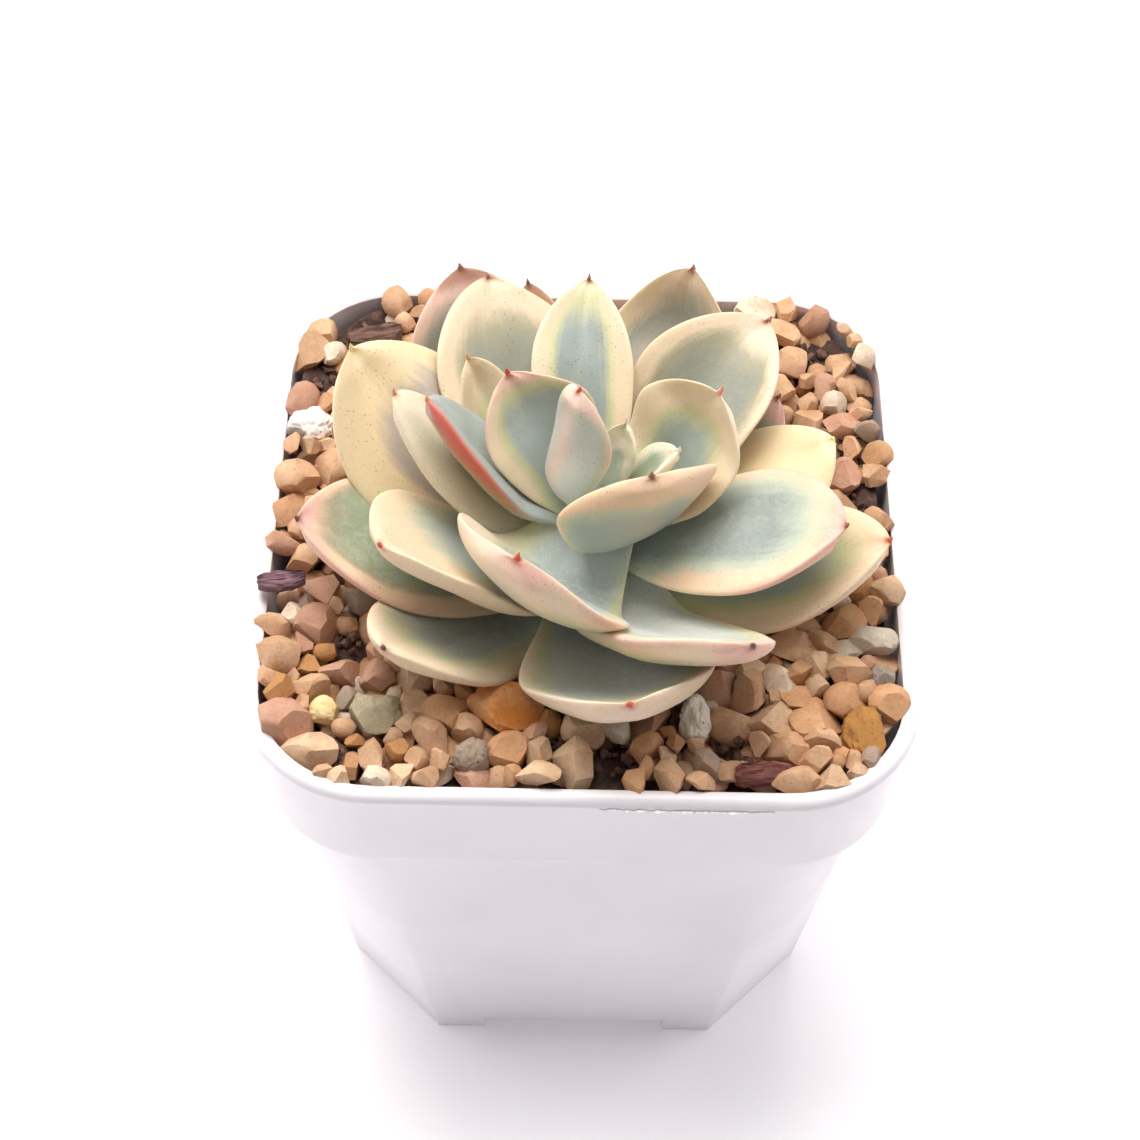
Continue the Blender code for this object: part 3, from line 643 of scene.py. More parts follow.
# ---------------------------------------------------------------- larger stones
# Ten odd stones in the dressing: an iron-stained pebble, pumice, granite chips and others.
# Each sits in the gravel where its socket is, to half its height.
ODD_STONES = (
    # node, cuts, how knobbly, base, stain, pits, spots
    ("stone_orange", 5, 0.10, (206, 128, 60), (236, 196, 150), 0.02, (120, 66, 30)),
    ("stone_pumice", 1, 0.16, (240, 230, 216), (214, 196, 176), 0.10, (96, 72, 62)),
    ("stone_speckled", 5, 0.14, (180, 168, 140), (150, 138, 110), 0.04, (98, 86, 70)),
    ("stone_grey", 4, 0.12, (162, 142, 124), (196, 176, 158), 0.09, (80, 70, 66)),
    ("stone_brown", 3, 0.16, (176, 126, 70), (150, 104, 56), 0.04, (110, 74, 44)),
    ("stone_knobbly", 1, 0.20, (246, 238, 232), (220, 206, 196), 0.07, (150, 130, 118)),
    ("stone_pale", 6, 0.08, (214, 202, 182), (186, 172, 154), 0.03, (140, 122, 108)),
    ("stone_tan", 3, 0.20, (222, 164, 118), (240, 200, 160), 0.03, (132, 88, 62)),
    ("stone_ash", 5, 0.12, (158, 146, 136), (128, 116, 106), 0.06, (84, 74, 70)),
    ("stone_straw", 6, 0.08, (236, 212, 158), (214, 178, 116), 0.03, (170, 128, 76)),
)


def node_box(node):
    """Middle and half size of the box round a CAD node."""
    low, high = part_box(node)
    return (low + high) / 2, (high - low) / 2


for index, (node, cuts, knobbly, base, stain, pits, spots) in enumerate(ODD_STONES):
    middle, half = node_box(node)
    stone = grain_model(node + "_piece", 5, (1.0, 1.0, 1.0), cuts, 40 + index)
    for vert in stone.data.vertices:
        bumps = noise.noise(vert.co * 2.1 + Vector((index * 7.0, 0, 0)))
        bumps += 0.5 * noise.noise(vert.co * 5.3 + Vector((0, index * 5.0, 0)))
        grown = vert.co * (1.04 + knobbly * bumps)
        vert.co = middle + Vector([g * h for g, h in zip(grown, half)])
    bpy.ops.object.shade_smooth_by_angle(angle=math.radians(32))
    finish = stone_finish(node + "_finish", paint(*base), paint(*stain), pits, paint(*spots))
    finish_piece(stone, node + "_piece", finish, node, node)

# ---------------------------------------------------------------- bark chips
# Flakes of pine bark, dark purple to maroon, with a layered, fibrous grain along them.  They
# lie loose on the gravel, one of them over the left rim.
CHIPS = (
    # node, turn in degrees, dark, light
    ("bark_purple", 10, (84, 56, 66), (150, 112, 120)),
    ("bark_maroon", 5, (86, 38, 32), (168, 108, 96)),
    ("bark_brown", 15, (66, 42, 34), (136, 98, 78)),
)
for index, (node, degrees, dark, light) in enumerate(CHIPS):
    middle, half = node_box(node)
    bpy.ops.object.select_all(action="DESELECT")
    bpy.ops.mesh.primitive_cube_add(size=2.0)
    chip = bpy.context.object
    open_mesh()
    bpy.ops.mesh.subdivide(number_cuts=15)
    bpy.ops.object.mode_set(mode="OBJECT")
    turn = Matrix.Rotation(math.radians(degrees), 3, "Z")
    for vert in chip.data.vertices:
        x, y, z = vert.co
        along = Vector((x * 1.3 + index * 9.0, y * 4.0, z * 2.0))
        taper = 1.0 - 0.45 * abs(x) ** 3 + 0.25 * noise.noise(Vector((x * 2.0, index * 3.0, 1.0)))
        ridge = 0.30 * noise.noise(along) + 0.16 * noise.noise(along * 2.7)
        y = (y / max(1.0, math.hypot(y, z) ** 0.6)) * taper + 0.12 * noise.noise(along * 1.4)
        z = z / max(1.0, math.hypot(y, z) ** 0.6) * (0.8 + ridge) + 0.25 * x * x * (-1) ** index
        x = x * (0.95 + 0.12 * noise.noise(Vector((y * 3.0, z * 3.0, index * 2.0))))
        point = turn @ Vector((x * half.x, y * half.y * 0.9, z * half.z * 0.9))
        vert.co = middle + point
    bpy.ops.object.shade_smooth_by_angle(angle=math.radians(35))
    finish, tree, shader = new_finish(node + "_finish", {"Roughness": 0.6})
    lengthwise = wire(tree, "ShaderNodeMapping", {
        "Vector": object_place(tree), "Rotation": (0.0, 0.0, -math.radians(degrees)),
        "Scale": (350.0, 1500.0, 1500.0)})
    fibres = noise_over(tree, lengthwise.outputs[0], 1.0, 6.0, Roughness=0.7)
    colour = ramp(tree, fibres, [(0.34, paint(*dark)), (0.70, paint(*light))])
    dress(tree, shader, colour, fibres, 0.35 * MM, 0.8)
    finish_piece(chip, node + "_piece", finish, node, node)

# ---------------------------------------------------------------- stem
# A short woody stem, green where the young leaves join it, with a scar ring where each older
# leaf was.  It leans a little to the front and is hidden by the leaves.
STEM_FOOT = np.array([0.7 * MM, 0.5 * MM, GRAVEL_TOP - 20.6 * MM])
STEM_TIP = np.array([2.0 * MM, -2.6 * MM, GRAVEL_TOP + 8.9 * MM])
STEM_FOOT_RADIUS = 3.6 * MM
STEM_TIP_RADIUS = 0.8 * MM
STEM_SIDES = 32


def stem_share(height):
    """0 at the foot of the stem, 1 at its tip."""
    return (height - STEM_FOOT[2]) / (STEM_TIP[2] - STEM_FOOT[2])


def stem_point(height):
    return STEM_FOOT + (STEM_TIP - STEM_FOOT) * (height - STEM_FOOT[2]) / (
        STEM_TIP[2] - STEM_FOOT[2])


def stem_radius(height):
    share = min(max(stem_share(height), 0.0), 1.0)
    return STEM_FOOT_RADIUS + (STEM_TIP_RADIUS - STEM_FOOT_RADIUS) * share


stem_rings = []
for height in np.linspace(STEM_FOOT[2], STEM_TIP[2], 70):
    middle = stem_point(height)
    share = stem_share(height)
    ring = []
    for step in range(STEM_SIDES):
        angle = 2 * math.pi * step / STEM_SIDES
        scars = 0.10 * math.sin(share * 60 + 2.0 * math.sin(angle)) * (1 - share)
        radius = stem_radius(height) * (1.0 + scars) * min(1.0, 0.6 + 12 * share)
        radius *= 1.0 - 0.7 * max(0.0, (share - 0.93) / 0.07) ** 2
        ring.append(Vector((middle[0] + radius * math.cos(angle),
                            middle[1] + radius * math.sin(angle), height)))
    stem_rings.append(ring)
stem_middle = Vector(stem_point(STEM_FOOT[2]))
stem = pull_skin("stem_core", [[p - stem_middle for p in ring] for ring in stem_rings])
stem.data.transform(Matrix.Translation(stem_middle))
bpy.ops.object.shade_smooth()

woody, tree, shader = new_finish("stem_skin", {"Roughness": 0.55})
place = object_place(tree)
rise = wire(tree, "ShaderNodeSeparateXYZ", {"Vector": place}).outputs["Z"]
age = wire(tree, "ShaderNodeMapRange", {"Value": rise, "From Min": GRAVEL_TOP - 6 * MM,
           "From Max": GRAVEL_TOP + 6 * MM})
colour = ramp(tree, age.outputs[0], [(0.0, paint(150, 120, 88)), (0.5, paint(150, 160, 112)),
              (1.0, paint(176, 192, 150))])
fibres = noise_over(tree, place, 1300.0, 4.0)
worn = ramp(tree, fibres, [(0.3, (0.75, 0.75, 0.7, 1)), (0.7, WHITE)])
dress(tree, shader, mixed(tree, 1.0, colour, worn, "MULTIPLY"), fibres, 0.2 * MM, 0.5)
finish_piece(stem, "stem_core", woody, "stem", "stem")

# ---------------------------------------------------------------- leaves
# Twenty-six fleshy leaves of a variegated rosette, joined to the stem one above another.  Each
# has a blue-green middle, cream margins with a pink edge, a waxy bloom and a small hard point.
LEAF_BASE_WIDTH = 4.4 * MM
LEAF_WIDEST = 0.6
LEAF_CLEARANCE = 0.45 * MM
STATIONS = np.array([0, 0.06, 0.14, 0.24, 0.34, 0.44, 0.54, 0.64, 0.74, 0.83, 0.90, 0.95, 0.98])

# base: height on the stem over the mean gravel; azimuth: 0 is right, 90 is the back; seat: how
# far round the stem from its azimuth the leaf is joined; rise: slope at the base; curl: how
# much steeper the tip is; roll, turn: turn about the leaf's own line; cup: how far the margins
# stand above the middle; sweep: turn of the azimuth to the tip.  Millimetres and degrees.
LEAF_TABLE = """
name     base azimuth seat rise curl length width thick roll   cup sweep turn
heart_a   9.4      62    0   66    0    8.0   4.5   1.2    0  0.30     0    0
heart_b   8.8       8    0   46    5    9.5   6.0   1.5  -20  0.35     0    0
heart_c   8.0     135   95   76   14   17.5   9.5   2.6   25  0.25     0   55
inner_a   6.8     145    0   42   25   17.5  12.5   2.2  -30  0.35     0    0
inner_b   6.6     308    0   52   34   16.0  18.0   2.4  -12  0.15    -8    0
inner_c   5.8      24    0   48    8   18.0  14.5   2.4   22  0.25     0    0
inner_d   5.4     172    0   35   26   23.5  10.0   2.4   25  0.20     5    0
inner_e   4.4     145    0   34   25   21.5   8.5   2.0    0  0.15     0    0
inner_f   4.4     169    0   24   32   25.5  11.5   2.6   15 -0.10    -3    0
inner_g   7.2     236   40    6   86   26.5  20.5   2.8  -20  0.20    18    0
middle_a  3.8     -19    0   20   15   27.0  17.5   3.0    0  0.05     0    0
middle_b  3.0     103    0   28   -5   26.5  11.0   2.4   -5  0.35   -20    0
middle_c  3.0     286    0   12   42   32.0  17.0   2.8  -38  0.10    33    0
middle_d  2.0     126    0   24   -4   30.0  18.5   2.6   15  0.10   -22    0
middle_e  2.8     206    0   24   18   28.0  19.5   2.8    8  0.20    12    0
middle_f  1.4      54    0   28  -14   28.5  15.0   2.8   10  0.40    -8    0
middle_g  0.8     162    0   18   40   32.5  19.5   2.8  -10 -0.10   -12    0
outer_a  -0.2      14    0   12   28   26.0  15.5   2.4    0 -0.10     5    0
outer_b  -0.6     -19    0   10   34   31.5  16.5   2.8    0  0.05    10    0
outer_c   0.0     276    0    6   50   31.0  20.0   2.8    5  0.25     0    0
outer_d  -1.0     192    0   12   30   32.5  17.0   2.8   -5  0.15     0    0
outer_e  -1.0      77    0   23   18   31.0  17.5   2.4  -10  0.40   -15    0
outer_f  -1.2     219    0   12   30   31.5  15.5   2.8   -3  0.05    16    0
outer_g  -1.6     127    0   20   24   33.0  20.0   2.4  -12  0.25   -15    0
outer_h  -1.8      40    0   12   12   24.5  14.0   2.2    0  0.30     0    0
outer_i  -2.0     104    0   20   10   30.0  11.0   1.6    0  0.20     4    0
"""


def table_rows(text):
    """The rows of a table as dictionaries; cells that are numbers become numbers."""
    lines = text.strip().splitlines()
    heads = lines[0].split()
    rows = []
    for line in lines[1:]:
        row = {}
        for head, cell in zip(heads, line.split()):
            row[head] = cell if cell[0].isalpha() else float(cell)
        rows.append(row)
    return rows


def dots(first, second):
    """The dot product of each pair of rows."""
    return np.einsum("pj,pj->p", first, second)


class Leaf:
    """A leaf as stations along its midline: middle, directions, half width, thickness, cup."""

    def __init__(self, row):
        self.row = row
        self.name = row["name"]
        self.length = row["length"] * MM
        width = row["width"] * MM
        t = STATIONS
        slope = np.radians(row["rise"] + row["curl"] * t ** 1.6)
        heading = np.radians(row["azimuth"] + row["sweep"] * t)
        self.along = np.stack([np.cos(slope) * np.cos(heading),
                               np.cos(slope) * np.sin(heading), np.sin(slope)], 1)
        first = heading[0] + math.radians(row["seat"])
        height = GRAVEL_TOP + row["base"] * MM
        out = stem_radius(height) + LEAF_CLEARANCE
        base = stem_point(height) + out * np.array([math.cos(first), math.sin(first), 0.0])
        steps = (self.along[1:] + self.along[:-1]) / 2 * np.diff(t)[:, None] * self.length
        self.middle = base + np.concatenate([np.zeros((1, 3)), np.cumsum(steps, 0)])
        level = np.stack([-np.sin(heading), np.cos(heading), np.zeros(len(t))], 1)
        above = np.cross(self.along, level)
        roll = np.radians(row["turn"] + row["roll"] * (0.3 + 0.7 * t))[:, None]
        self.side = np.cos(roll) * level + np.sin(roll) * above
        self.up = np.cos(roll) * above - np.sin(roll) * level
        self.half = half_width(t, width, LEAF_BASE_WIDTH, 0.75)
        self.thick, self.cup = flesh(row, t, self.half)

    def height(self, station, across, upper):
        """How far a face lies above the midline; across is -1 to 1."""
        edge = np.clip(np.abs(across), 0, 1)
        margin = self.cup[station] * edge ** 2
        if upper:
            return margin + 0.15 * self.thick[station] * (1 - edge ** 2)
        return margin - 0.85 * self.thick[station] * (1 - edge ** 1.6)

    def face(self, upper, count=9):
        """Points over one face: count across, at every station."""
        across = np.linspace(-1, 1, count)
        rows = []
        for i in range(len(self.half)):
            rise = self.height(i, across, upper)
            rows.append(self.middle[i] + self.side[i] * (self.half[i] * across)[:, None]
                        + self.up[i] * rise[:, None])
        return np.array(rows)

    def locate(self, points):
        """For each point: its nearest station, how far along from it, across and above it."""
        offset = points[:, None, :] - self.middle[None]
        along = np.abs(np.einsum("pij,ij->pi", offset, self.along))
        station = np.argmin(along + 0.25 * np.linalg.norm(offset, axis=2), 1)
        nearest = offset[np.arange(len(points)), station]
        across = dots(nearest, self.side[station]) / self.half[station]
        return (station, dots(nearest, self.along[station]), across,
                dots(nearest, self.up[station]))


def half_width(t, width, base_width, blunt):
    """Half the leaf's width along it: a narrow base, widest past the middle, a round end."""
    base_share = min(0.5, base_width / width)
    swell = base_share + (1 - base_share) * np.sin(
        math.pi / 2 * np.clip(t / LEAF_WIDEST, 0, 1)) ** 1.2
    beyond = np.clip((t - LEAF_WIDEST) / (1 - LEAF_WIDEST), 0, 1)
    close = np.cos(math.pi / 2 * beyond) ** blunt
    return width / 2 * np.where(t < LEAF_WIDEST, swell, close)


def flesh(row, t, half):
    """Thickness along the leaf, and how far its margins stand above its middle."""
    plump = 0.42 + 0.58 * np.sin(math.pi * np.clip(0.95 * t, 0, 1)) ** 0.8
    return row["thick"] * MM * plump, row["cup"] * half * (0.35 + 0.65 * np.clip(t / 0.6, 0, 1))


CONTACT_REACH = 2.2 * MM         # how far along a leaf a station stands for it
DEEPEST = 3.2 * MM               # overlaps deeper than this are passed over


def contact(lower, upper):
    """How far each station of the lower leaf must yield to the leaf above it."""
    def touching(lengthwise, across, depth):
        near = (np.abs(lengthwise) < CONTACT_REACH) & (np.abs(across) < 1.06)
        return near & (depth > 0) & (depth < DEEPEST)

    push = np.zeros(len(lower.half))
    tops = lower.face(True)
    owner = np.repeat(np.arange(len(push)), tops.shape[1])
    station, lengthwise, across, above = upper.locate(tops.reshape(-1, 3))
    depth = above - upper.height(station, across, False) + LEAF_CLEARANCE
    facing = np.clip(dots(lower.up[owner], upper.up[station]), 0.5, 1.0)
    touch = touching(lengthwise, across, depth)
    np.maximum.at(push, owner[touch], (depth / facing)[touch])
    undersides = upper.face(False).reshape(-1, 3)
    station, lengthwise, across, above = lower.locate(undersides)
    depth = lower.height(station, across, True) - above + LEAF_CLEARANCE
    touch = touching(lengthwise, across, depth)
    np.maximum.at(push, station[touch], depth[touch])
    return push


def settle(leaves, rounds=8):
    """Lets each leaf yield, along its own underside's direction, to those nearer the heart."""
    def beside(push):
        return np.r_[push[0], push[:-1]], np.r_[push[1:], push[-1]]

    for _ in range(rounds):
        for index, lower in enumerate(leaves):
            push = np.zeros(len(lower.half))
            for upper in leaves[:index]:
                push = np.maximum(push, contact(lower, upper))
            if push.max() == 0.0:
                continue
            for _ in range(3):
                before, after = beside(push)
                push = np.maximum(push, 0.6 * np.maximum(before, after))
            before, after = beside(push)
            smooth = (before + 2 * push + after) / 4
            lower.middle = lower.middle - lower.up * (0.5 * np.maximum(smooth, 0.9 * push))[:, None]


leaves = [Leaf(row) for row in table_rows(LEAF_TABLE)]
joined = [leaf.middle.copy() for leaf in leaves]
settle(leaves)

# plus, minus: widths of the cream margins, as shares of the half width, on the side that is
# to the left looking out along the leaf and on the other; end: length of the cream tip; soft:
# how gradual the change is; blush: pink along the margins and the tip; keel: the stripe along
# the underside; silver: rubbed wax on the upper face; long: length of the hard point, counted
# in POINT_UNIT; the rest are paints, and edge is both the blush and the stripe.
LOOK_TABLE = """
name     plus minus  end soft blush keel silver long middle      turning     margin    edge      point
heart_a  0.60  0.60 0.40 0.30  0.05 0.00   0.00  1.2 mint        mint        palecream palecream whitetip
heart_b  0.35  0.40 0.20 0.30  0.15 0.00   0.00  0.8 leafgreen   mint        palecream palecream whitetip
heart_c  0.03  0.03 0.10 0.20  0.20 0.75   0.20  0.7 frost       mint        rosecream rosecream redtip
inner_a  0.35  0.12 0.10 0.30  0.60 0.20   0.00  1.3 bluegrey    yellowgreen cream     rose      redtip
inner_b  0.42  0.06 0.22 0.30  0.30 0.25   0.10  0.8 bluegrey    mint        peach     peach     browntip
inner_c  0.45  0.42 0.22 0.35  0.20 0.20   0.00  2.0 bluegreen   yellowgreen cream     palecream pinktip
inner_d  0.06  0.10 0.05 0.15  0.30 0.60   0.00  0.8 bluegrey    oliveshade  rosecream redline   orangetip
inner_e  0.40  0.40 0.26 0.35  0.10 0.20   0.00  1.0 mint        yellowgreen cream     palecream orangetip
inner_f  0.70  0.40 0.40 0.45  0.30 0.10   0.00  1.2 mint        palecream   palecream peach     orangetip
inner_g  0.14  0.40 0.20 0.30  0.55 0.12   1.00  1.0 bluegrey    yellowgreen cream     rose      redtip
middle_a 0.20  0.34 0.14 0.40  0.70 0.20   0.35  0.8 greyblue    mint        peach     rose      browntip
middle_b 0.36  0.40 0.08 0.30  0.20 0.20   0.00  1.0 greyblue    yellowgreen cream     cream     browntip
middle_c 0.14  0.26 0.18 0.30  0.60 0.50   1.00  0.5 frost       yellowgreen cream     rose      darktip
middle_d 0.30  0.38 0.18 0.30  0.15 0.20   0.00  0.6 slate       olivegrey   sand      sand      browntip
middle_e 0.46  0.16 0.34 0.42  0.35 0.20   0.10  0.8 bluegrey    mint        cream     peach     redtip
middle_f 0.28  0.20 0.14 0.32  0.45 0.20   0.10  1.0 slate       olivegrey   cream     rose      browntip
middle_g 0.50  0.12 0.24 0.40  0.25 0.20   0.00  1.2 greyrose    greyrose    yellow    cream     yellowtip
outer_a  0.90  0.90 0.80 0.50  0.05 0.10   0.00  0.4 yellowgreen yellowgreen yellow    yellow    yellowtip
outer_b  0.12  0.36 0.16 0.38  0.50 0.20   0.00  1.0 bluegrey    yellowgreen cream     peach     redtip
outer_c  0.20  0.16 0.18 0.26  0.45 0.30   0.80  0.4 frost       yellowgreen cream     rosecream redtip
outer_d  0.30  0.16 0.10 0.30  0.60 0.20   0.40  0.9 leafgreen   olivegrey   peach     rose      darktip
outer_e  0.30  0.24 0.12 0.45  0.40 0.20   0.00  0.9 greyrose    greygreen   cream     rosecream hooktip
outer_f  0.30  0.12 0.18 0.38  0.40 0.20   0.50  0.7 bluegrey    yellowgreen cream     peach     darktip
outer_g  0.18  0.20 0.12 0.38  0.55 0.20   0.00  0.9 greygreen   greygreen   rosecream rose      hooktip
outer_h  0.16  0.24 0.12 0.30  0.55 0.20   0.00  0.8 leafgreen   greygreen   rosecream rose      darktip
outer_i  0.40  0.40 0.40 0.40  0.60 0.20   0.00  0.9 olive       greyrose    peach     rose      darktip
"""
PAINT_TABLE = """
name        red green blue
mint        194   201  180
bluegreen   158   170  161
bluegrey    171   180  175
greyblue    154   163  158
leafgreen   156   166  139
greygreen   164   167  150
olive       175   169  128
yellowgreen 205   203  158
oliveshade  170   152  106
slate       146   148  134
olivegrey   167   161  134
frost       198   203  195
greyrose    186   175  163
sand        220   200  170
cream       232   212  180
palecream   230   218  192
yellow      239   219  178
peach       236   204  172
rosecream   228   200  182
rose        226   174  164
redline     206   104   88
whitetip    238   226  222
redtip      190    82   66
browntip    140    88   72
darktip     104    66   68
pinktip     226   158  146
orangetip   214   142   96
yellowtip   232   204  142
hooktip     150    98   92
"""
PAINTS = {row["name"]: paint(row["red"], row["green"], row["blue"])
          for row in table_rows(PAINT_TABLE)}
FINE = 46                        # stations along the finished leaf
AROUND = 44                      # points round it
POINT_STEPS = 7                  # stations along its hard point
POINT_UNIT = 0.7 * MM            # what the lengths of the hard points are counted in
GROOVE_DEPTH = 0.22 * MM         # of the hollow along the upper face
WAVE_HEIGHT = 0.30 * MM          # of the unevenness of both faces
VISIBLE_BASE = 8.0 * MM          # the leaf's clasping base


def eased(t, start, end):
    share = np.clip((t - start) / (end - start), 0, 1)
    return share * share * (3 - 2 * share)


def between(fine, values):
    """Values at the coarse stations, drawn through them smoothly at fine ones."""
    slopes = np.gradient(values, STATIONS, axis=0)
    index = np.clip(np.searchsorted(STATIONS, fine, side="right") - 1, 0, len(STATIONS) - 2)
    gap = (STATIONS[index + 1] - STATIONS[index])[:, None]
    s = (fine - STATIONS[index])[:, None] / gap
    return ((1 + 2 * s) * (1 - s) ** 2 * values[index] + s * (1 - s) ** 2 * gap * slopes[index]
            + s ** 2 * (3 - 2 * s) * values[index + 1]
            + s ** 2 * (s - 1) * gap * slopes[index + 1])


def unit(vectors):
    return vectors / np.linalg.norm(vectors, axis=1)[:, None]


def leaf_skin(leaf, joined_middle, look, seed):
    """The finished leaf's points, faces and, for each point, its place on the leaf."""
    t = 0.9975 * (1 - (1 - np.linspace(0, 1, FINE)) ** 1.7)
    middle = between(t, leaf.middle)
    start = between(t, joined_middle)
    middle = middle + (start - middle) * (1 - eased(t, 0.0, 0.35))[:, None]
    side, up, along = (unit(between(t, v)) for v in (leaf.side, leaf.up, leaf.along))
    half = half_width(t, leaf.row["width"] * MM, VISIBLE_BASE, 0.66)
    waver = np.array([noise.noise(Vector((s * 3.1, seed * 5.0, 2.0))) for s in t])
    thick, cup = flesh(leaf.row, t, half)
    thick = thick * (1 - 0.75 * eased(t, 0.93, 1.0))
    angles = 2 * math.pi * np.arange(AROUND) / AROUND
    across, upper = np.cos(angles), np.sin(angles) >= 0
    edge = np.abs(across)
    points, places = [], []
    for i in range(FINE):
        margin = cup[i] * edge ** 2
        groove = GROOVE_DEPTH * np.exp(-(across / 0.22) ** 2) * eased(t[i], 0.1, 0.4)
        top = margin + 0.28 * thick[i] * (1 - edge ** 5) ** 0.5 - groove
        under = margin - 0.72 * thick[i] * (1 - edge ** 2.8) ** 0.55
        wavy = np.array([noise.noise(Vector((a * 1.7, t[i] * 4.0, seed * 3.0 + 1.0)))
                         for a in across])
        rise = np.where(upper, top, under) + WAVE_HEIGHT * wavy * eased(t[i], 0.2, 0.6)
        reach = half[i] * across * (1 + 0.05 * waver[i] * np.sign(across))
        points.append(middle[i] + side[i] * reach[:, None] + up[i] * rise[:, None])
        places.append(np.stack([across, np.full(AROUND, t[i]), np.where(upper, 0.0, 1.0)], 1))
    # the hard point: it grows out of the tip and bends up a little
    long = look["long"] * POINT_UNIT
    last_half, last_thick = half[-1], thick[-1]
    for step in range(1, POINT_STEPS + 1):
        share = step / POINT_STEPS
        slim = (1 - share) ** 0.9
        centre = middle[-1] + along[-1] * long * share + up[-1] * (
            0.45 * long * share ** 2 - 0.2 * last_thick * share * (1 - share))
        reach = (min(last_half, 0.36 * MM) * slim + 0.04 * MM) * across
        rise = (0.28 * MM * slim + 0.04 * MM) * np.sin(angles)
        points.append(centre + side[-1] * reach[:, None] + up[-1] * rise[:, None])
        places.append(np.stack([across, np.full(AROUND, 1.0 + 0.1 * share),
                                np.where(upper, 0.0, 1.0)], 1))
    count = len(points)
    faces = []
    for i in range(count - 1):
        for k in range(AROUND):
            after = (k + 1) % AROUND
            faces.append((i * AROUND + k, i * AROUND + after,
                          (i + 1) * AROUND + after, (i + 1) * AROUND + k))
    faces.append(tuple(range(AROUND))[::-1])
    faces.append(tuple((count - 1) * AROUND + k for k in range(AROUND)))
    return np.concatenate(points), faces, np.concatenate(places)


def leaf_zones(look, places):
    """How cream, how pink, how much keel stripe and how much of the hard point there is."""
    across, t, under = places.T
    soft = look["soft"]
    plus = eased(across, 1 - look["plus"] - soft, 1 - look["plus"] + soft)
    minus = eased(-across, 1 - look["minus"] - soft, 1 - look["minus"] + soft)
    end = eased(t, 1 - look["end"] - 0.6 * soft, 1 - look["end"] + 0.6 * soft)
    grown = eased(t, 0.05, 0.45)
    cream = (1 - (1 - plus) * (1 - minus) * (1 - end)) * (0.25 + 0.75 * grown)
    keel = look["keel"] * np.exp(-(across / 0.35) ** 2) * under * eased(t, 0.15, 0.5)
    rim = np.maximum(eased(np.abs(across), 0.86, 1.0) * 0.7, eased(t, 0.86, 0.99))
    blush = look["blush"] * rim * eased(t, 0.35, 0.75)
    if look["name"] == "inner_d":
        # this leaf lies on its side: a red edge, an olive underside, a blue-grey upper face
        edge_width = 0.05 + 0.40 * eased(t, 0.45, 1.0)
        keel = 0.95 * np.exp(-((1 - across) / edge_width) ** 2) * eased(t, 0.1, 0.7)
        cream = 0.42 * under * eased(t, 0.25, 0.45) * eased(across, -0.2, 0.4)
        cream = cream * (1 - 0.6 * eased(t, 0.8, 0.95))
    point = eased(t + 0.02 * (1 - np.abs(across)), 0.985, 1.02)
    return {"cream": cream, "keel": keel, "blush": blush, "point": point,
            "silver": look["silver"] * (1 - under) * eased(t, 0.1, 0.3)}


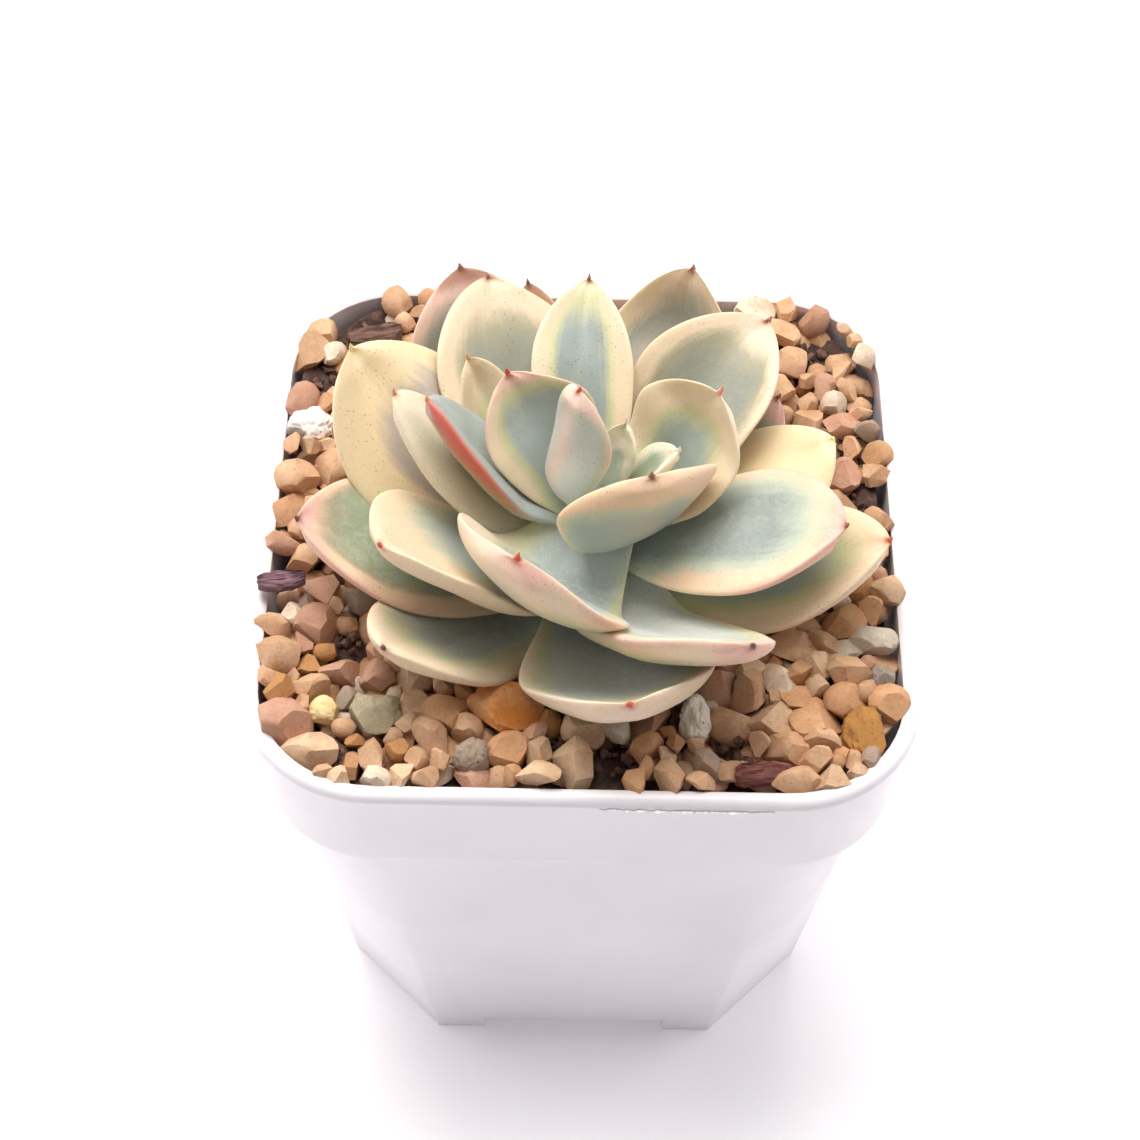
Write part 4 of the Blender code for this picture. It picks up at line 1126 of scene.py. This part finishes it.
def leaf_finish(name, look):
    """Waxy leaf skin: streaked change from middle to margin, blush, bloom, specks and point."""
    finish, tree, shader = new_finish(name + "_skin", {
        "Roughness": 0.42, "Specular IOR Level": 0.4, "Sheen Weight": 0.08,
        "Sheen Roughness": 0.4, "Subsurface Weight": 0.22,
        "Subsurface Radius": (1.0, 0.8, 0.45), "Subsurface Scale": 1.6 * MM})
    middle, turning, margin, edge, point = (
        PAINTS[look[kind]] for kind in ("middle", "turning", "margin", "edge", "point"))
    place = object_place(tree)
    on_leaf = wire(tree, "ShaderNodeUVMap", {}, uv_map="on_leaf").outputs["UV"]

    def zone(kind):
        return wire(tree, "ShaderNodeAttribute", {}, attribute_name=kind).outputs["Fac"]

    def sum_of(first, second, factor):
        return reckon(tree, "MULTIPLY_ADD", second, factor, first)

    stretched = wire(tree, "ShaderNodeMapping", {"Vector": on_leaf, "Scale": (16.0, 2.2, 1.0)})
    streaks = noise_over(tree, stretched.outputs[0], 1.0, 4.0, Roughness=0.6)
    cloud = noise_over(tree, place, 260.0, 3.0)
    streak = reckon(tree, "SUBTRACT", streaks, 0.5)
    drift = reckon(tree, "SUBTRACT", cloud, 0.5)
    cream = sum_of(sum_of(zone("cream"), streak, 0.42), drift, 0.36)
    colour = ramp(tree, cream, [(0.05, middle), (0.42, turning), (0.72, margin), (1.0, margin)])
    colour = mixed(tree, zone("keel"), colour, edge)
    pink = sum_of(zone("blush"), drift, 0.6)
    colour = mixed(tree, ramp(tree, pink, [(0.10, BLACK), (0.75, WHITE)]), colour, edge)

    # rubbed wax: pale streaks and scratches over the upper face
    rubbed = wire(tree, "ShaderNodeTexNoise", {"Vector": place, "Scale": 520.0, "Detail": 7.0,
                  "Roughness": 0.72, "Distortion": 1.4})
    finer = wire(tree, "ShaderNodeMapping", {"Vector": place, "Scale": (620.0, 430.0, 500.0)})
    strayed = mixed(tree, 0.8, finer.outputs[0], rubbed.outputs["Color"], "ADD")
    cracks = cells_over(tree, strayed, 1.0, feature="DISTANCE_TO_EDGE")
    line = ramp(tree, cracks, [(0.02, WHITE), (0.07, BLACK)])
    kept = ramp(tree, rubbed.outputs["Fac"], [(0.44, BLACK), (0.56, WHITE)])
    rubs = ramp(tree, rubbed.outputs["Fac"], [(0.48, BLACK), (0.64, WHITE)])
    wax = mixed(tree, 1.0, rubs, mixed(tree, 1.0, line, kept, "MULTIPLY"), "LIGHTEN")
    wax = reckon(tree, "MULTIPLY", wax, zone("silver"))
    veil = reckon(tree, "MULTIPLY", wax, 0.50)
    colour = mixed(tree, veil, colour, paint(214, 222, 214))

    # pores and dust: tiny dark specks, here and there
    patch = noise_over(tree, place, 170.0, 2.0)
    thick_set = ramp(tree, patch, [(0.46, (0.12, 0.12, 0.12, 1)), (0.64, WHITE)])
    dot = ramp(tree, cells_over(tree, place, 1800.0),
               [(0.08, (0.65, 0.65, 0.65, 1)), (0.20, BLACK)])
    speck = mixed(tree, 1.0, dot, thick_set, "MULTIPLY")
    colour = mixed(tree, speck, colour, paint(92, 84, 74))
    mottle = noise_over(tree, place, 3200.0, 2.0)
    fine = ramp(tree, mottle, [(0.3, (0.93, 0.93, 0.93, 1)), (0.7, WHITE)])
    colour = mixed(tree, 1.0, colour, fine, "MULTIPLY")
    dress(tree, shader, mixed(tree, zone("point"), colour, point),
          sum_of(mottle, rubbed.outputs["Fac"], 1.5), 0.05 * MM, 0.35)
    return finish


looks = {row["name"]: row for row in table_rows(LOOK_TABLE)}
for index, (leaf, joined_middle) in enumerate(zip(leaves, joined)):
    look = looks[leaf.name]
    points, faces, places = leaf_skin(leaf, joined_middle, look, index)
    name = "leaf_" + leaf.name
    mesh = bpy.data.meshes.new(name + "_grown")
    mesh.from_pydata([tuple(p) for p in points], [], faces)
    layer = mesh.uv_layers.new(name="on_leaf")
    corner_verts = np.zeros(len(mesh.loops), dtype=np.int32)
    mesh.loops.foreach_get("vertex_index", corner_verts)
    spread = np.stack([0.5 + 0.5 * places[:, 0] * (1 - 0.5 * places[:, 2]), places[:, 1]], 1)
    layer.data.foreach_set("uv", spread[corner_verts].astype(np.float32).ravel())
    for kind, values in leaf_zones(look, places).items():
        attribute = mesh.attributes.new(kind, "FLOAT", "POINT")
        attribute.data.foreach_set("value", values.astype(np.float32))
    grown = bpy.data.objects.new(name + "_grown", mesh)
    bpy.context.scene.collection.objects.link(grown)
    choose(grown)
    open_mesh()
    close_mesh()
    bpy.ops.object.shade_smooth()
    finish_piece(grown, name + "_grown", leaf_finish(name, look), "leaf", name)

# ---------------------------------------------------------------- sizes
low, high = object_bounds()
